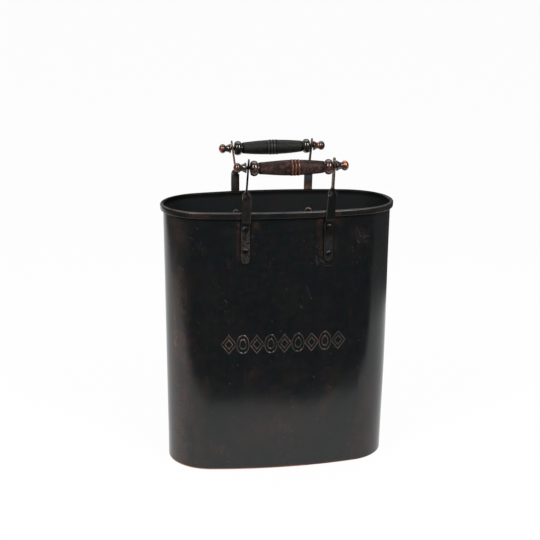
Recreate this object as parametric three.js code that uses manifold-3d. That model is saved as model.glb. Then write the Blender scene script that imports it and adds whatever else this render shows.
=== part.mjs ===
// Magazine basket: an oval sheet-metal vessel, a little wider at the top, with a wired rim and
// a turned grip over each long side. Each grip turns on a tie rod held by two flat straps,
// which are riveted to the wall, set out over the rim and twisted a quarter turn into ears.
// Millimetres, +Z up, the front towards -Y. The origin is the centre of the underside.

import * as THREE from 'three';
import { mergeVertices } from 'three/addons/utils/BufferGeometryUtils.js';
import Module from 'manifold-3d';

const wasm = await Module();
wasm.setup();

// Air between pieces that touch, and how far a cutting tool runs past what it cuts
const seat_gap = 0.3;
const overrun = 2;

// Body: outer sizes at the rim and at the foot, and how far the long sides swell past the round ends
const body_height = 370;
const rim_width = 316.8;
const rim_depth = 142.8;
const rim_side_swell = 9.6;
const foot_width = 311.4;
const foot_depth = 140.2;
const foot_side_swell = 7.5;
const sheet = 0.9;

// Wired rim: the sheet is rolled outwards round a wire and its tail is laid back to the wall
const wire_radius = 1.35;
const tail_angle = 25;

// Lap seam up the back: where the outer sheet ends, how far it laps, and how it steps down again
const seam_shift = 1;
const lap_width = 12;
const lap_edge = 0.4;
const lap_ramp = 4;
const lap_stop = 1.5;

// Bottom: a dished pan with its flange turned up inside the wall
const pan_sheet = 1.2;
const pan_flange = 8;
const pan_bend_radius = 3;

// Handles: the axis's overhang past the wall, and half the spacing of the ears
const axis_overhang = 0.6;
const ear_half_span = 57.1;

// Straps: section, and heights measured down or up from the rim
const strap_width = 12;
const strap_thickness = 2.5;
const strap_chamfer = 0.5;
const foot_drop = 70;
const joggle_drop = 18;
const joggle_length = 9;
const twist_rise = 19;
const twist_length = 13;
const ear_tip_rise = 11;
const nose_angle = 20;

// Hand-made differences between the two handles, with x to the right as each side is faced.
// axis_tilt raises the right end, and ear_turns are how far the left and right ears are twisted.
const front_side = {
  foot_half_span: 56.3,
  foot_shift: 0.5,
  root_half_span: 57.6,
  root_shift: 3,
  axis_shift: 4.4,
  axis_rise: 60.2,
  axis_tilt: 0,
  ear_turns: [98.8, 93],
  bead_shift: 4.4,
  grip_sag: 1.2,
  upper_rivet_drop: 22.3,
};
const rear_side = {
  foot_half_span: 53.05,
  foot_shift: -4.35,
  root_half_span: 53.55,
  root_shift: -4.65,
  axis_shift: -4,
  axis_rise: 62,
  axis_tilt: -0.78,
  ear_turns: [98, 98],
  bead_shift: -1.7,
  grip_sag: 0,
  upper_rivet_drop: 31.5,
};
const left_lower_rivet_drop = 52;
const right_lower_rivet_drop = 59;

// Rivets: a flattened head outside and the round factory head inside
const shank_radius = 2.2;
const outer_head_radius = 4.2;
const outer_head_rise = 2;
const inner_head_radius = 5.4;
const inner_head_rise = 2.8;

// Grips: a long swell between two rounded collars, with raised beads near the middle
const barrel_radius = 10.25;
const barrel_end_radius = 7.75;
const cove_radius = 6.8;
const cove_length = 2;
const collar_radius = 10.15;
const collar_length = 9.4;
const collar_face_radius = 7;
const hub_radius = 4.6;
const hub_length = 0.4;
const bead_count = 3;
const bead_pitch = 4.4;
const bead_rise = 0.5;
const bead_share = 0.78;

// Tie rods, and the finials screwed on their turned-down ends
const rod_radius = 2.5;
const stub_radius = 1.9;
const stub_length = 9;
const finial_length = 16.7;
const finial_boss_radius = 3;
const finial_foot_radius = 6.85;
const finial_lip = 0.9;
const finial_neck_radius = 4.3;
const finial_neck_place = 6.6;
const finial_waist_radius = 4.9;
const ball_radius = 6.55;
const ball_half_length = 5.3;

// Facets
const end_steps = 20;
const side_steps = 8;
const curl_steps = 8;
const wire_sides = 8;
const bend_steps = 3;
const nose_steps = 5;
const joggle_steps = 6;
const twist_steps = 10;
const hole_sides = 12;
const rivet_sides = 10;
const dome_steps = 3;
const rod_sides = 12;
const grip_sides = 16;
const swell_steps = 6;
const round_steps = 6;
const bead_steps = 4;
const finial_sides = 12;

const hands = [-1, 1];
const radians = THREE.MathUtils.degToRad;
const mix = THREE.MathUtils.lerp;
const ease = THREE.MathUtils.smoothstep;

// Part of a circle or an ellipse, from one angle to another, as the points of a section
function bow(x, y, x_radius, y_radius, from, to, steps) {
  return new THREE.EllipseCurve(x, y, x_radius, y_radius, from, to, from > to).getPoints(steps);
}

// Merges a geometry's shared vertices, drops empty triangles and turns its faces outwards
function closed(geometry) {
  geometry.deleteAttribute('normal');
  geometry.deleteAttribute('uv');
  const merged = mergeVertices(geometry, seat_gap / 1000);
  const places = merged.attributes.position;
  const kept = [];
  const corners = [new THREE.Vector3(), new THREE.Vector3(), new THREE.Vector3()];
  let volume = 0;
  for (let i = 0; i < merged.index.count; i += 3) {
    const face = [0, 1, 2].map((k) => merged.index.getX(i + k));
    if (new Set(face).size < 3) continue;
    kept.push(face);
    face.forEach((vertex, k) => corners[k].fromBufferAttribute(places, vertex));
    volume += corners[0].dot(corners[1].cross(corners[2]));
  }
  const turned = volume < 0 ? kept.map((face) => face.reverse()) : kept;
  merged.setIndex(turned.flat());
  return merged;
}

// A closed skin over rings of points. The last ring joins the first, or both ends are capped.
function skin(rings, is_loop) {
  const count = rings[0].length;
  const points = rings.flat();
  const faces = [];
  const pairs = is_loop ? rings.length : rings.length - 1;
  for (let i = 0; i < pairs; i += 1) {
    const here = i * count;
    const there = ((i + 1) % rings.length) * count;
    for (let k = 0; k < count; k += 1) {
      const next = (k + 1) % count;
      faces.push(here + k, there + k, there + next);
      faces.push(here + k, there + next, here + next);
    }
  }
  if (!is_loop) {
    const last = (rings.length - 1) * count;
    for (let k = 1; k < count - 1; k += 1) {
      faces.push(0, k, k + 1);
      faces.push(last, last + k + 1, last + k);
    }
  }
  const geometry = new THREE.BufferGeometry().setFromPoints(points);
  geometry.setIndex(faces);
  return closed(geometry);
}

// Joining and cutting of closed solids
function to_solid(geometry) {
  return new wasm.Manifold(new wasm.Mesh({
    numProp: 3,
    vertProperties: new Float32Array(geometry.attributes.position.array),
    triVerts: new Uint32Array(geometry.index.array),
  }));
}

function cut(geometry, tools) {
  let solid = to_solid(geometry);
  for (const tool of tools) solid = solid.subtract(to_solid(closed(tool)));
  const mesh = solid.getMesh();
  const result = new THREE.BufferGeometry();
  result.setAttribute('position', new THREE.BufferAttribute(mesh.vertProperties, 3));
  result.setIndex(new THREE.BufferAttribute(mesh.triVerts, 1));
  return result;
}

// The oval at a height: four arcs that meet with no corner, two round ends and two long sides
function oval(z) {
  const share = z / body_height;
  const half_width = mix(foot_width, rim_width, share) / 2;
  const half_depth = mix(foot_depth, rim_depth, share) / 2;
  const side_swell = mix(foot_side_swell, rim_side_swell, share);
  const end_radius = half_depth - side_swell;
  const end_centre = half_width - end_radius;
  const side_radius = (end_centre ** 2 + half_depth ** 2 - end_radius ** 2) / (2 * side_swell);
  const meet_angle = Math.atan2(end_centre, side_radius - half_depth);
  return { half_depth, end_radius, end_centre, side_radius, meet_angle };
}

// A point of the wall: angle is the direction that the wall faces there, out is off its outer face
function wall_point(angle, z, out) {
  const { half_depth, end_radius, end_centre, side_radius, meet_angle } = oval(z);
  const facing = new THREE.Vector3(Math.cos(angle), Math.sin(angle), 0);
  if (Math.abs(facing.y) > Math.cos(meet_angle)) {
    const centre_y = Math.sign(facing.y) * (half_depth - side_radius);
    return facing.multiplyScalar(side_radius + out).add(new THREE.Vector3(0, centre_y, z));
  }
  const centre_x = Math.sign(facing.x) * end_centre;
  return facing.multiplyScalar(end_radius + out).add(new THREE.Vector3(centre_x, 0, z));
}

// The stations round the oval, with the height of the lap at each
function wall_stations() {
  const { side_radius, meet_angle } = oval(body_height);
  const quarter = Math.PI / 2;
  const stations = [];
  const add_arc = (from, to, steps) => {
    for (let i = 0; i < steps; i += 1) stations.push({ angle: mix(from, to, i / steps), lap: 0 });
  };
  add_arc(meet_angle - quarter, quarter - meet_angle, end_steps);
  add_arc(quarter - meet_angle, quarter + meet_angle, side_steps);
  add_arc(quarter + meet_angle, 3 * quarter - meet_angle, end_steps);
  add_arc(3 * quarter - meet_angle, 3 * quarter + meet_angle, side_steps);
  const at_place = (x) => Math.acos(x / side_radius);
  const lap_end = seam_shift + lap_width;
  const seam = [
    { angle: at_place(lap_end + lap_ramp), lap: 0 },
    { angle: at_place(lap_end), lap: sheet },
    { angle: at_place(seam_shift), lap: sheet },
    { angle: at_place(seam_shift - lap_edge), lap: 0 },
  ];
  const is_clear = ({ angle }) => angle < seam[0].angle || angle > seam[3].angle;
  return stations.filter(is_clear).concat(seam).sort((one, two) => one.angle - two.angle);
}

const stations = wall_stations();

// The rim's roll, measured out from the wall's outer face
const roll_inner_radius = wire_radius + seat_gap;
const roll_outer_radius = roll_inner_radius + sheet;
const roll_height = body_height - roll_outer_radius;
const rim_reach = roll_inner_radius + roll_outer_radius;

function rim_roll() {
  const last_angle = radians(-tail_angle);
  const arc = (radius) => (
    bow(roll_inner_radius, roll_height, radius, radius, Math.PI, last_angle, curl_steps)
  );
  const outer = arc(roll_outer_radius);
  const inner = arc(roll_inner_radius);
  const inner_end = inner[inner.length - 1];
  const tail_way = new THREE.Vector2(Math.sin(last_angle), -Math.cos(last_angle));
  const tail_length = (inner_end.x - seat_gap) / -tail_way.x;
  const tail_tip = inner_end.clone().addScaledVector(tail_way, tail_length);
  const tail_side = new THREE.Vector2(Math.cos(last_angle), Math.sin(last_angle));
  const tail_outer_tip = tail_tip.clone().addScaledVector(tail_side, sheet);
  return { outer, inner, tail_tip, tail_outer_tip };
}

const roll = rim_roll();
const lap_height = roll.tail_outer_tip.y - lap_stop;

// The wall: the sheet's section, with its rolled rim, carried round the oval
function wall_shell() {
  const rings = stations.map(({ angle, lap }) => {
    const section = [
      new THREE.Vector2(-sheet, 0),
      ...roll.outer,
      roll.tail_outer_tip,
      roll.tail_tip,
      ...roll.inner.toReversed(),
      new THREE.Vector2(0, lap_height + lap_edge),
      new THREE.Vector2(lap, lap_height),
      new THREE.Vector2(lap, 0),
    ];
    return section.map((point) => wall_point(angle, point.y, point.x));
  });
  return cut(skin(rings, true), rivet_places.map(({ matrix }) => {
    const reach = sheet + overrun;
    const drill = new THREE.CylinderGeometry(
      shank_radius + seat_gap, shank_radius + seat_gap, 2 * reach, hole_sides,
    );
    return drill.rotateX(Math.PI / 2).applyMatrix4(matrix);
  }));
}

function rim_wire() {
  const section = bow(
    roll_inner_radius, roll_height, wire_radius, wire_radius, 0, 2 * Math.PI, wire_sides,
  ).slice(1);
  const rings = stations.map(({ angle }) => section.map((point) => (
    wall_point(angle, point.y, point.x)
  )));
  return skin(rings, true);
}

// The pan: rings from the middle of the underside, round the flange and back to the middle
function base_pan() {
  const outer = -sheet - seat_gap;
  const inner_bend_radius = pan_bend_radius - pan_sheet;
  const bend_place = outer - pan_bend_radius;
  const bend = (radius) => (
    bow(bend_place, pan_bend_radius, radius, radius, -Math.PI / 2, 0, bend_steps)
  );
  const section = [
    ...bend(pan_bend_radius),
    new THREE.Vector2(outer, pan_flange),
    new THREE.Vector2(outer - pan_sheet, pan_flange),
    ...bend(inner_bend_radius).toReversed(),
  ];
  const rings = section.map((point) => stations.map(({ angle }) => (
    wall_point(angle, point.y, point.x)
  )));
  const middle = (z) => stations.map(() => new THREE.Vector3(0, 0, z));
  return skin([middle(0), ...rings, middle(pan_sheet)], false);
}

// A place on a handle's axis, in the frame of the side that it is on, and the way the axis runs
const axis_depth = rim_depth / 2 + axis_overhang;

function axis_way(side) {
  const tilt = radians(side.axis_tilt);
  return new THREE.Vector3(Math.cos(tilt), 0, Math.sin(tilt));
}

function axis_place(side, along) {
  const middle = new THREE.Vector3(side.axis_shift, -axis_depth, body_height + side.axis_rise);
  return middle.addScaledVector(axis_way(side), along);
}

// Turns a revolved piece's own axis, +Y, to run along a handle's axis
function along_axis(side, hand) {
  const up = new THREE.Vector3(0, 1, 0);
  return new THREE.Quaternion().setFromUnitVectors(up, axis_way(side).multiplyScalar(hand));
}

// A strap's places: x of its foot and its ear's root, its hole, and how the ear leans and turns
const joggle_low = body_height - joggle_drop;
const joggle_high = joggle_low + joggle_length;
const twist_low = body_height + twist_rise;
const twist_high = twist_low + twist_length;

function strap_places(side, hand) {
  const foot = side.foot_shift + hand * side.foot_half_span;
  const root = side.root_shift + hand * side.root_half_span;
  const hole = axis_place(side, hand * ear_half_span);
  const lean = (hole.x - root) / (hole.z - twist_high);
  const turn = radians(side.ear_turns[hands.indexOf(hand)]);
  return { foot, root, hole, lean, turn };
}

// The long side's outer face at a place x, and the way that it faces there
function side_face(x, z) {
  const { half_depth, side_radius } = oval(Math.min(z, body_height));
  return half_depth - side_radius + Math.sqrt(side_radius ** 2 - x ** 2);
}

function side_turn(x, z) {
  return Math.asin(x / oval(Math.min(z, body_height)).side_radius);
}

// The strap's middle line at a height
function strap_middle(places, z) {
  const { foot, root, lean } = places;
  const below_ear = mix(foot, root, THREE.MathUtils.clamp(
    (z - joggle_low) / (twist_high - joggle_low), 0, 1,
  ));
  const x = below_ear + lean * Math.max(0, z - twist_high);
  const on_wall = side_face(foot, z) + seat_gap + strap_thickness / 2;
  const over_rim = side_face(foot, body_height) + rim_reach + seat_gap + strap_thickness / 2;
  const set_out = mix(on_wall, over_rim, ease(z, joggle_low, joggle_high));
  const depth = mix(set_out, axis_depth, ease(z, twist_low, twist_high));
  return new THREE.Vector3(x, -depth, z);
}

// The eight corners of the strap's section at a height
function strap_ring(places, z, half_width) {
  const step = seat_gap;
  const middle = strap_middle(places, z);
  const way = strap_middle(places, z + step).sub(strap_middle(places, z - step)).normalize();
  const turn = mix(side_turn(places.foot, z), -places.turn, ease(z, twist_low, twist_high));
  const across = new THREE.Vector3(Math.cos(turn), Math.sin(turn), 0);
  across.addScaledVector(way, -across.dot(way)).normalize();
  const through = new THREE.Vector3().crossVectors(way, across);
  const half = strap_thickness / 2;
  const edge = half - strap_chamfer;
  const flat = half_width - strap_chamfer;
  const corners = [
    [half_width, -edge], [half_width, edge], [flat, half], [-flat, half],
    [-half_width, edge], [-half_width, -edge], [-flat, -half], [flat, -half],
  ];
  return corners.map(([u, v]) => (
    middle.clone().addScaledVector(across, u).addScaledVector(through, v)
  ));
}

// The places of the sections along a strap, with a half round at each end
function strap_sections(hole_height) {
  const radius = strap_width / 2;
  const nose = (tip, way) => {
    const sections = [];
    for (let i = 0; i <= nose_steps; i += 1) {
      const angle = mix(radians(nose_angle), Math.PI / 2, i / nose_steps);
      const back = radius * (Math.cos(radians(nose_angle)) - Math.cos(angle));
      sections.push({ z: tip + way * back, half_width: radius * Math.sin(angle) });
    }
    return sections;
  };
  const steps = (low, high, count) => {
    const sections = [];
    for (let i = 0; i <= count; i += 1) {
      sections.push({ z: mix(low, high, i / count), half_width: radius });
    }
    return sections;
  };
  return [
    ...nose(body_height - foot_drop, 1),
    ...steps(joggle_low, joggle_high, joggle_steps),
    ...steps(twist_low, twist_high, twist_steps),
    ...nose(hole_height + ear_tip_rise, -1).toReversed(),
  ];
}

function strap(side, hand) {
  const places = strap_places(side, hand);
  const rings = strap_sections(places.hole.z).map(({ z, half_width }) => (
    strap_ring(places, z, half_width)
  ));
  const reach = strap_thickness + overrun;
  const hole_radius = shank_radius + seat_gap;
  const drills = rivet_places
    .filter((place) => place.side === side && place.hand === hand)
    .map(({ local }) => {
      const drill = new THREE.CylinderGeometry(hole_radius, hole_radius, 2 * reach, hole_sides);
      return drill.rotateX(Math.PI / 2).translate(0, 0, strap_thickness).applyMatrix4(local);
    });
  const rod_hole_radius = rod_radius + seat_gap;
  const rod_hole = new THREE.CylinderGeometry(
    rod_hole_radius, rod_hole_radius, 2 * reach, rod_sides,
  );
  rod_hole.applyQuaternion(along_axis(side, 1)).translate(...places.hole.toArray());
  return cut(skin(rings, false), [...drills, rod_hole]);
}

// Each rivet's place: its origin is on the wall's outer face and its own +Z points outwards
const half_turn = new THREE.Matrix4().makeRotationZ(Math.PI);

function rivet_place(side, hand, level) {
  const lower_drop = hand < 0 ? left_lower_rivet_drop : right_lower_rivet_drop;
  const z = body_height - (level === 'upper' ? side.upper_rivet_drop : lower_drop);
  const { foot } = strap_places(side, hand);
  const turn = side_turn(foot, z);
  const outward = new THREE.Vector3(Math.sin(turn), -Math.cos(turn), 0);
  const up = new THREE.Vector3(0, 0, 1);
  const across = new THREE.Vector3().crossVectors(up, outward);
  const local = new THREE.Matrix4().makeBasis(across, up, outward);
  local.setPosition(foot, -side_face(foot, z), z);
  const matrix = side === rear_side ? half_turn.clone().multiply(local) : local;
  return { side, hand, level, local, matrix };
}

const rivet_places = [front_side, rear_side].flatMap((side) => (
  hands.flatMap((hand) => ['upper', 'lower'].map((level) => rivet_place(side, hand, level)))
));

// Turned pieces: a profile of radius and place along the axis, revolved
function turned(profile, sides) {
  return closed(new THREE.LatheGeometry(profile, sides));
}

function rivet() {
  const quarter = Math.PI / 2;
  const inner_seat = -sheet - seat_gap;
  const outer_seat = seat_gap + strap_thickness + seat_gap;
  const profile = [
    ...bow(0, inner_seat, inner_head_radius, inner_head_rise, -quarter, 0, dome_steps),
    new THREE.Vector2(shank_radius, inner_seat),
    new THREE.Vector2(shank_radius, outer_seat),
    ...bow(0, outer_seat, outer_head_radius, outer_head_rise, 0, quarter, dome_steps),
  ];
  return turned(profile, rivet_sides).rotateX(Math.PI / 2);
}

// What the slant of the ears takes up at a radius from the rod
const ear_slants = [front_side, rear_side].flatMap((side) => hands.map((hand) => {
  const { lean, turn } = strap_places(side, hand);
  return Math.hypot(lean, Math.tan(turn - Math.PI / 2));
}));

function slant_room(radius) {
  return radius * Math.max(...ear_slants) + seat_gap;
}

const ear_inner_face = ear_half_span - strap_thickness / 2;
const ear_outer_face = ear_half_span + strap_thickness / 2;
const hub_end = ear_inner_face - slant_room(hub_radius);
const collar_end = hub_end - hub_length;
const collar_middle = collar_end - collar_length / 2;
const cove_end = collar_end - collar_length - cove_length;
const finial_seat = ear_outer_face + slant_room(finial_boss_radius);
const finial_boss = slant_room(finial_foot_radius) - slant_room(finial_boss_radius);

// The grip's swell: its radius at a place along it
function swell_radius(place) {
  return mix(barrel_radius, barrel_end_radius, (place / cove_end) ** 2);
}

function grip(side) {
  const bore_radius = rod_radius + side.grip_sag + seat_gap;
  const quarter = Math.PI / 2;
  const bead_half = (bead_pitch * bead_share) / 2;
  const beads = [];
  for (let i = 0; i < bead_count; i += 1) {
    const place = side.bead_shift + (i - (bead_count - 1) / 2) * bead_pitch;
    for (let k = 0; k <= bead_steps; k += 1) {
      const angle = mix(-quarter, quarter, k / bead_steps);
      const along = place + bead_half * Math.sin(angle);
      beads.push(new THREE.Vector2(swell_radius(along) + bead_rise * Math.cos(angle), along));
    }
  }
  const swell = (from, to) => {
    const points = [];
    for (let i = 0; i < swell_steps; i += 1) {
      const along = mix(from, to, i / swell_steps);
      points.push(new THREE.Vector2(swell_radius(along), along));
    }
    return points;
  };
  const first_bead = beads[0].y;
  const last_bead = beads[beads.length - 1].y;
  const collar = (place) => bow(
    collar_face_radius, place, collar_radius - collar_face_radius, collar_length / 2,
    -quarter, quarter, round_steps,
  );
  const profile = [
    new THREE.Vector2(bore_radius, -hub_end),
    new THREE.Vector2(hub_radius, -hub_end),
    new THREE.Vector2(hub_radius, -collar_end),
    ...collar(-collar_middle),
    new THREE.Vector2(cove_radius, -cove_end - cove_length / 2),
    ...swell(-cove_end, first_bead),
    ...beads,
    ...swell(cove_end, last_bead).toReversed(),
    new THREE.Vector2(cove_radius, cove_end + cove_length / 2),
    ...collar(collar_middle),
    new THREE.Vector2(hub_radius, collar_end),
    new THREE.Vector2(hub_radius, hub_end),
    new THREE.Vector2(bore_radius, hub_end),
    new THREE.Vector2(bore_radius, -hub_end),
  ];
  return turned(profile, grip_sides);
}

function tie_rod() {
  const shoulder = finial_seat - seat_gap;
  const end = shoulder + stub_length;
  const profile = [
    new THREE.Vector2(0, -end),
    new THREE.Vector2(stub_radius, -end),
    new THREE.Vector2(stub_radius, -shoulder),
    new THREE.Vector2(rod_radius, -shoulder),
    new THREE.Vector2(rod_radius, shoulder),
    new THREE.Vector2(stub_radius, shoulder),
    new THREE.Vector2(stub_radius, end),
    new THREE.Vector2(0, end),
  ];
  return turned(profile, rod_sides);
}

// A finial: a flared foot drawn in to a neck, and a flattened ball, bored for the rod's end
function finial() {
  const bore_radius = stub_radius + seat_gap;
  const ball_place = finial_boss + finial_length - ball_half_length;
  const neck_turn = -Math.acos(finial_neck_radius / ball_radius);
  const flare = new THREE.QuadraticBezierCurve(
    new THREE.Vector2(finial_foot_radius, finial_boss + finial_lip),
    new THREE.Vector2(finial_waist_radius, finial_boss + finial_neck_place / 2),
    new THREE.Vector2(finial_neck_radius, finial_boss + finial_neck_place),
  );
  const profile = [
    new THREE.Vector2(0, stub_length),
    new THREE.Vector2(bore_radius, stub_length),
    new THREE.Vector2(bore_radius, 0),
    new THREE.Vector2(finial_boss_radius, 0),
    new THREE.Vector2(finial_boss_radius, finial_boss),
    new THREE.Vector2(finial_foot_radius, finial_boss),
    ...flare.getPoints(bead_steps),
    ...bow(0, ball_place, ball_radius, ball_half_length, neck_turn, Math.PI / 2, round_steps),
  ];
  return turned(profile, finial_sides);
}

// Finishes
const finishes = {
  body_sheet: { color: 0x2b2724, roughness: 0.38, metalness: 1 },
  pan_sheet: { color: 0x2a2522, roughness: 0.5, metalness: 1 },
  wire: { color: 0x6b4631, roughness: 0.5, metalness: 1 },
  strap_metal: { color: 0x34291f, roughness: 0.4, metalness: 1 },
  rivet_metal: { color: 0x241f1c, roughness: 0.35, metalness: 1 },
  grip_metal: { color: 0x26201c, roughness: 0.42, metalness: 1 },
  rod_metal: { color: 0x2e2621, roughness: 0.45, metalness: 1 },
  finial_metal: { color: 0x6b3d26, roughness: 0.25, metalness: 1 },
};

function piece(name, geometry, finish) {
  const mesh = new THREE.Mesh(geometry, new THREE.MeshStandardMaterial(finishes[finish]));
  mesh.name = name;
  return mesh;
}

// One handle, in the frame of the side that it is on
function handle(side, side_name, hand_names) {
  const group = new THREE.Group();
  hands.forEach((hand, i) => {
    const corner = `${side_name}_${hand_names[i]}`;
    group.add(piece(`${corner}_strap`, strap(side, hand), 'strap_metal'));
    for (const place of rivet_places) {
      if (place.side !== side || place.hand !== hand) continue;
      const fixing = piece(`${corner}_${place.level}_rivet`, rivet(), 'rivet_metal');
      fixing.applyMatrix4(place.local);
      group.add(fixing);
    }
    const knob = piece(`${corner}_finial`, finial(), 'finial_metal');
    knob.position.copy(axis_place(side, hand * finial_seat));
    knob.quaternion.copy(along_axis(side, hand));
    group.add(knob);
  });
  const rod = piece(`${side_name}_tie_rod`, tie_rod(), 'rod_metal');
  const barrel = piece(`${side_name}_grip`, grip(side), 'grip_metal');
  for (const turned_piece of [rod, barrel]) {
    turned_piece.position.copy(axis_place(side, 0));
    turned_piece.quaternion.copy(along_axis(side, 1));
    group.add(turned_piece);
  }
  barrel.position.z -= side.grip_sag;
  return group;
}

const front_handle = handle(front_side, 'front', ['left', 'right']);
const rear_handle = handle(rear_side, 'rear', ['right', 'left']);
rear_handle.rotation.z = Math.PI;

const basket = new THREE.Group();
basket.add(
  piece('wall_shell', wall_shell(), 'body_sheet'),
  piece('rim_wire', rim_wire(), 'wire'),
  piece('base_pan', base_pan(), 'pan_sheet'),
  front_handle,
  rear_handle,
);

export default basket;
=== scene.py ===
import math
import bpy
from mathutils import Euler, Matrix, Vector, noise


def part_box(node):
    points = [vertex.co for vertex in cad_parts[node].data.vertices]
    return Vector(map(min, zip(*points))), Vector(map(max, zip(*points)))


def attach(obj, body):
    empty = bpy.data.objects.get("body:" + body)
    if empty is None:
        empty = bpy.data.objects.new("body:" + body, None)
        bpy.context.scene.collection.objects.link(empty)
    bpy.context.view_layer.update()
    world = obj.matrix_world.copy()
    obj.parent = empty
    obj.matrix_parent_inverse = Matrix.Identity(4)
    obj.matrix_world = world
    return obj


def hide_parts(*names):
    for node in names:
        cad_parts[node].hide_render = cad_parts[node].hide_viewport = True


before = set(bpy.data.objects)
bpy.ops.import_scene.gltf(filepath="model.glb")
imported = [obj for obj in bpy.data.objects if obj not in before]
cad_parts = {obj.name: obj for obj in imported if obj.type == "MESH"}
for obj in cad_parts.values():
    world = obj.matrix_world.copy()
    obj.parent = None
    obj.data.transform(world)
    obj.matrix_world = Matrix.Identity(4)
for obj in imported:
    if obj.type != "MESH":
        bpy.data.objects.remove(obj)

bl_info = {
    "name": "Copper Magazine Basket",
    "version": (1, 0, 0),
    "blender": (4, 5, 0),
    "location": "3D View > Sidebar > Basket",
    "description": "An oval magazine basket of darkened copper with a turned grip over each side",
    "category": "Add Mesh",
}

# Places and sizes are in metres, +Z up, with the front towards -Y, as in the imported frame.
MM = 0.001
QUARTER = math.pi / 2
SEAT_GAP = 0.3 * MM
FRONT_LEFT, FRONT_RIGHT = "front_left", "front_right"
REAR_LEFT, REAR_RIGHT = "rear_left", "rear_right"
CORNERS = (FRONT_LEFT, FRONT_RIGHT, REAR_LEFT, REAR_RIGHT)

# Rolled rim: the wire inside it, and the foot of the roll in front of the wall
WIRE_RADIUS = 1.35 * MM
LIP_LOW = 361.3 * MM
LIP_ROUND = 1.1 * MM
LIP_LEAN = 0.35 * MM
LIP_STEPS = 8
CREST_END = 0.06
CREST_STEPS = 24
ROLL_STEPS = 12

# Lap seam up the back
SEAM_SHIFT = 1 * MM
LAP_WIDTH = 12 * MM
LAP_EDGE = 0.4 * MM
LAP_RAMP = 4 * MM
LAP_STOP = 1.5 * MM

# Bottom pan
PAN_SHEET = 1.2 * MM
PAN_FLANGE = 8 * MM
PAN_BEND = 3 * MM
PAN_BEND_STEPS = 8

# Straps: heights down or up from the rim
FOOT_DROP = 70 * MM
JOGGLE_DROP = 18 * MM
JOGGLE_LENGTH = 9 * MM
TWIST_RISE = 19 * MM
TWIST_LENGTH = 13 * MM
EAR_TIP_RISE = 11 * MM
EAR_HALF_SPAN = 57.1 * MM
AXIS_OVERHANG = 0.6 * MM

# The rivets' middles in the frame
RIVETS = {
    node: (Vector(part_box(node)[0]) + Vector(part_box(node)[1])) / 2
    for node in (f"{corner}_{level}_rivet" for corner in CORNERS for level in ("upper", "lower"))
}

# Hand-made differences, with x to the right as each side is faced
SIDES = {
    "front": {
        "foot_half_span": 56.3 * MM, "foot_shift": 0.5 * MM,
        "root_half_span": 57.6 * MM, "root_shift": 3 * MM,
        "axis_shift": 4.4 * MM, "axis_rise": 60.2 * MM, "axis_tilt": 0.0,
        "ear_turns": (math.radians(98.8), math.radians(93)),
        "bead_shift": 4.4 * MM, "grip_sag": 1.2 * MM,
    },
    "rear": {
        "foot_half_span": 53.05 * MM, "foot_shift": -4.35 * MM,
        "root_half_span": 53.55 * MM, "root_shift": -4.65 * MM,
        "axis_shift": -4 * MM, "axis_rise": 62 * MM, "axis_tilt": math.radians(-0.78),
        "ear_turns": (math.radians(98), math.radians(98)),
        "bead_shift": -1.7 * MM, "grip_sag": 0.0,
    },
}
HANDS = (-1, 1)

# Rivets
SHANK_RADIUS = 2.2 * MM
OUTER_HEAD_RADIUS = 4.2 * MM
OUTER_HEAD_RISE = 2 * MM
INNER_HEAD_RADIUS = 5.4 * MM
INNER_HEAD_RISE = 2.8 * MM

# Grips, rods and finials
BARREL_RADIUS = 10.25 * MM
BARREL_END_RADIUS = 7.75 * MM
COVE_RADIUS = 6.8 * MM
COVE_LENGTH = 2 * MM
COLLAR_RADIUS = 10.15 * MM
COLLAR_LENGTH = 9.4 * MM
COLLAR_FACE_RADIUS = 7 * MM
HUB_RADIUS = 4.6 * MM
HUB_LENGTH = 0.4 * MM
BEAD_COUNT = 3
BEAD_PITCH = 4.4 * MM
BEAD_RISE = 0.5 * MM
BEAD_SHARE = 0.78
ROD_RADIUS = 2.5 * MM
STUB_RADIUS = 1.9 * MM
STUB_LENGTH = 9 * MM
FINIAL_LENGTH = 16.7 * MM
FINIAL_BOSS_RADIUS = 3 * MM
FINIAL_FOOT_RADIUS = 6.85 * MM
FINIAL_LIP = 0.9 * MM
FINIAL_NECK_RADIUS = 4.3 * MM
FINIAL_NECK_PLACE = 6.6 * MM
FINIAL_WAIST_RADIUS = 4.9 * MM
BALL_RADIUS = 6.55 * MM
BALL_HALF_LENGTH = 5.3 * MM

# The embossed row on the front: outlined lozenges and rounds by turns
ROW_LEFT = -86.9 * MM
ROW_RIGHT = 84.1 * MM
ROW_LOW = 173 * MM
ROW_HIGH = 199 * MM
ROW_COUNT = 9


def mix(one, two, share):
    return one + (two - one) * share


def clamp(value, low=0.0, high=1.0):
    return min(max(value, low), high)


def ease(value, low, high):
    """0 below low, 1 above high, and a smooth step between them."""
    share = clamp((value - low) / (high - low))
    return share * share * (3 - 2 * share)


def near(value, middle, reach):
    """1 at middle, falling smoothly to 0 at reach to both sides."""
    return ebb(abs(value - middle), 0, reach)


def ebb(value, low, high):
    """1 below low, 0 above high, and a smooth step between them."""
    return 1 - ease(value, low, high)


def wander(x, y, z):
    """Smooth noise about 0."""
    return noise.noise(Vector((x, y, z)))


def arc(x, y, x_radius, y_radius, start, end, steps):
    """Points of part of an ellipse."""
    angles = [mix(start, end, i / steps) for i in range(steps + 1)]
    return [(x + x_radius * math.cos(a), y + y_radius * math.sin(a)) for a in angles]


def settings():
    return bpy.context.scene.basket


# Sizes, colours and studio values that a user would change


def measure(name, description, default, unit="LENGTH"):
    return bpy.props.FloatProperty(name=name, description=description, default=default, unit=unit)


def tone(name, description, default):
    return bpy.props.FloatVectorProperty(
        name=name, description=description, default=default, min=0, max=1, size=3, subtype="COLOR",
    )


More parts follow.
